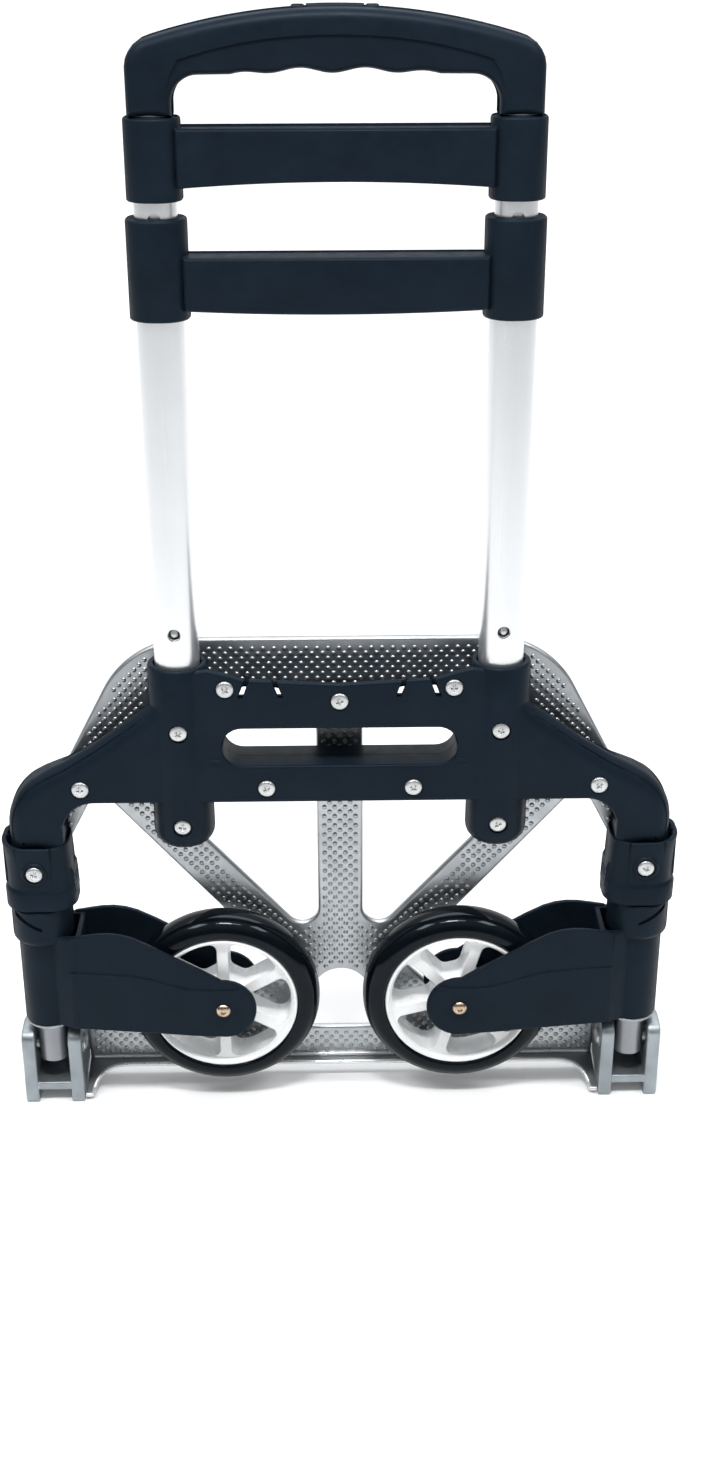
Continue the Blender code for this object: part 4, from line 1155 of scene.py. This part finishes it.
def tyre(label, side):
    crown = WHEEL_R + 1.2 - (BEAD_R + 2.2)
    profile = [(BEAD_R, -10.6), (BEAD_R + 0.9, -11.9)]
    for k in range(25):
        angle = radians(-90 + 7.5 * k)
        c, s = cos(angle), sin(angle)
        profile.append((BEAD_R + 2.2 + crown * abs(c) ** 0.92,
                        WHEEL_HALF * copysign(abs(s) ** 0.85, s)))
    profile += [(BEAD_R + 0.9, 11.9), (BEAD_R, 10.6)]
    turn_node(f"{label}_tyre", profile, (side * AXLE_X, 0, AXLE_Z), "tyre", "Y", 128, ring=True,
              sharp=60)


on_both_sides(rim, tyre)


# ---- toe plate

FOOT_EDGE = 32.8
ARCH_Z = 58.3
ARCH_HALF = 17.0
DOT_PITCH = 6.2
DOT_MARGIN = 4.3


def plate_outline():
    half = [(159.9, 10.0, 0), (159.9, 58.0, 0), (190.0, 58.0, 4), (190.0, 165.2, 8),
            (119.9, 297.9, 58)]
    left = [(-point[0], *point[1:]) for point in reversed(half)]
    return rounded_corners(half + left, 0, 14)


def plate_windows():
    above = [(13.7, 268.4), (13.7, 93.3), (127.7, 221.8), (103.1, 268.4)]
    beside = [(37.9, 80.8), (85.9, FOOT_EDGE), (118.0, FOOT_EDGE), (164.0, 90.0), (164.0, 165.0),
              (143.7, 203.5)]
    windows = [wound(rounded_corners(corners, 9.8, 9), -1) for corners in (above, beside)]
    windows += [mirrored(loop) for loop in windows]
    foot = ARCH_Z + ARCH_HALF * sqrt(2) - FOOT_EDGE
    feet = rounded_corners([(-foot, FOOT_EDGE), (foot, FOOT_EDGE), (0.0, FOOT_EDGE + foot, 0)],
                           7.0, 8)[:-1]
    windows.append((arc(0.0, ARCH_Z, ARCH_HALF, 45, 135, 16) + feet)[::-1])
    return windows


def edge_distance(point, loops):
    """How far a point is from the nearest outline."""
    best = 1e9
    for loop in loops:
        for (u0, v0), (u1, v1) in zip(loop, loop[1:] + loop[:1]):
            du, dv = u1 - u0, v1 - v0
            span = du * du + dv * dv
            if span == 0:
                continue
            t = max(0.0, min(1.0, ((point[0] - u0) * du + (point[1] - v0) * dv) / span))
            best = min(best, (point[0] - u0 - t * du) ** 2 + (point[1] - v0 - t * dv) ** 2)
    return sqrt(best)


def inside(point, loop):
    odd = False
    for (u0, v0), (u1, v1) in zip(loop, loop[1:] + loop[:1]):
        if (v0 > point[1]) != (v1 > point[1]):
            if point[0] < u0 + (point[1] - v0) / (v1 - v0) * (u1 - u0):
                odd = not odd
    return odd


def dimple(bm, u, v, face, base, radius, tall):
    """One low dome on the face at depth base."""
    rings = []
    for share, rise in ((1.0, -0.02), (0.80, 0.50), (0.50, 0.86), (0.2, 1.0)):
        rings.append([bm.verts.new(Vector((u + p, base + face * tall * rise, v + q)) * MM)
                      for p, q in circle(0, 0, radius * share, 8)])
    for first, second in zip(rings, rings[1:]):
        bridge(bm, first, second)
    bm.faces.new(rings[-1])


def dimples(loops):
    """Dots in staggered rows on both faces, clear of the outlines."""
    bm = bmesh.new()
    step = DOT_PITCH / 2
    for row in range(int(300 / step)):
        v = 12.5 + row * DOT_PITCH / 2
        for column in range(-31, 32):
            u = column * DOT_PITCH + (step if row % 2 else 0.0)
            if not inside((u, v), loops[0]) or any(inside((u, v), loop) for loop in loops[1:]):
                continue
            if edge_distance((u, v), loops) >= DOT_MARGIN:
                dimple(bm, u, v, -1, LOAD_Y, 1.55, 0.75)
                dimple(bm, u, v, 1, LOAD_Y + SHEET, 1.2, 0.3)
    return to_object("dots", bm, "plate_aluminium", 60)


def rim_drop(u, v):
    """The plate's lower rim dips towards the floor next to the hinge blocks."""
    out = max(0.0, min(1.0, (abs(u) - 134.0) / 22.0))
    near = max(0.0, min(1.0, (8.0 - v) / 16.0))
    return 7.5 * out * out * near


def toe_plate():
    """Sheet with a turned-back edge and dimples, and a rim along its foot."""
    loops = [plate_outline()] + plate_windows()
    back = LOAD_Y + SHEET
    pairs = round_over(1.9, LOAD_Y, -1)
    pairs += [(0.0, PLATE_BACK - 0.3), (0.3, PLATE_BACK), (SHEET - 0.2, PLATE_BACK),
              (SHEET, PLATE_BACK - 0.3), (SHEET, back + 0.6), (SHEET + 0.6, back)]
    parts = [stack("sheet", loops, pairs, "plate_aluminium"), dimples(loops)]
    reach = 159.7
    rear = [(-reach, -10.0), (-156.5, -10.2)] + arc(-134.0, -11.0, 22.0, 178, 90, 12)
    rear += [(-120.0, 11.2)]
    rear += mirrored(rear)
    web = [(-reach, 20.0)] + rear + [(reach, 20.0)]
    parts.append(skin("rim", [[[(u, v, z - rim_drop(u, v)) for u, v in inset(web, d)]]
                              for d, z in both_edges(11.4, 9.7, 0.6, 3)], "plate_aluminium"))
    # The hem and the bend bar get the lighter copy of the plate metal: painted highlight lines.
    parts.append(sweep("hem", [(u, v + 0.7, 11.0 - rim_drop(u, v)) for u, v in rear], 1.35,
                       "plate_edge_highlight"))
    parts.append(sweep("bend", [(u, LOAD_Y - 0.7, 12.6) for u in (-157.0, 157.0)], 1.3,
                       "plate_edge_highlight"))
    assemble("toe_plate", parts)


def facing_x(piece, x, way):
    """Move a piece that was drawn along X to the pin's height, looking the given way."""
    piece.data.transform(Matrix.Translation(Vector((x, 0, PIN_Z)) * MM)
                         @ Matrix.Rotation(0.0 if way > 0 else pi, 4, "Z"))
    return piece


def hinge_block(label, side):
    """Back wall, two ears with bosses for the pin, a web between them and a lug."""
    node = f"{label}_hinge_block"
    alloy = "cast_alloy"
    x = side * POST_X
    half, channel = 18.2, 10.1
    wall, back, front = LOAD_Y, high(node).y, low(node).y
    arch = [(x - half, 0.0), (x + half, 0.0), (x + half, 45.0)]
    arch += arc(x, 37.0, 18.0, 32, 148, 14) + [(x - half, 45.0)]
    parts = [stack("wall", [arch], both_edges(back, wall, 0.6), alloy)]
    ear = rounded_corners([(front, 0.0, 1.6), (wall + 1.0, 0.0, 0), (wall + 1.0, 47.0, 0),
                           (4.0, 51.5, 14), (front, 49.5, 6.5)], 1.0, 7)
    for way in (-side, side):
        first, last = sorted((x + way * channel, x + way * half))
        piece = stack("ear", [ear], both_edges(last, first, 1.1), alloy, yz)
        carve(piece, rod((x, 0, PIN_Z), PIN_BORE, -30, 30, "X"))
        boss = turned("boss", [(PIN_BORE, -1.0), (6.6, -1.0), (6.6, 0.25), (6.2, 0.6),
                               (PIN_BORE, 0.6)], (0, 0, 0), alloy, "X", 40, True)
        parts += [piece, facing_x(boss, x + way * half, way)]
    parts.append(box("end_web", (x - channel - 1, front + 0.8, 8.6),
                     (x + channel + 1, wall + 1, 14.2), alloy, 0.9))
    parts.append(box("lug", (side * (POST_X - half + 1.0), LOAD_Y + SHEET + 0.3, 16.0),
                     (side * 145.0, back, 49.0), alloy, 0.6))
    assemble(node, parts)


def hinge_pin(label, side):
    node = f"{label}_hinge_pin"
    head, tail = (low(node).x, high(node).x) if side > 0 else (high(node).x, low(node).x)
    length = abs(tail - head)
    profile = [(0, 0.0), (2.0, 0.0), (3.9, 0.35), (5.0, 1.2), (5.2, 2.2), (PIN_R, 2.3),
               (PIN_R, length - 0.8), (PIN_R - 0.8, length), (1.2, length), (0.6, length - 0.9),
               (0, length - 0.9)]
    made = turned(f"{node}_skin", profile, (0, 0, 0), "zinc_screw", "X", 40)
    settle(facing_x(made, head, side), node)


def plate_rivet(label, _side):
    node = f"{label}_plate_rivet"
    spot, face, end = middle(node), low(node).y, high(node).y
    profile = [(0, face), (1.3, face + 0.1), (2.5, face + 0.5), (3.3, face + 1.1), (3.4, face + 1.5),
               (2.0, face + 1.6), (2.0, end), (0, end)]
    turn_node(node, profile, (spot.x, 0, spot.z), "zinc_screw", "Y", 36)


def return_spring(label, side):
    """Coil that the yoke's flange presses down when the button goes in."""
    node = f"{label}_return_spring"
    bottom, top = heights(node)
    wire = 0.5
    coil = radius_of(node) - wire
    turns = 5.5
    steps = int(turns * 20)
    path = []
    for k in range(steps + 1):
        share = k / steps
        rise = max(0.0, min(1.0, (share - 0.12) / 0.76))
        angle = 2 * pi * turns * share
        path.append((side * TUBE_X + coil * cos(angle), coil * sin(angle),
                     bottom + wire + (top - bottom - 2 * wire) * rise))
    piece = settle(sweep(f"{node}_skin", path, wire, "spring_steel", 8), node)
    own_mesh(piece)


toe_plate()
on_both_sides(return_spring, hinge_block, hinge_pin, plate_rivet)


# ---- small CAD nodes that stay

for node, thing in frame["nodes"].items():
    if not thing.hide_render:
        thing.data.materials.clear()
        thing.data.materials.append(FINISH[SLOT_OF[node]])
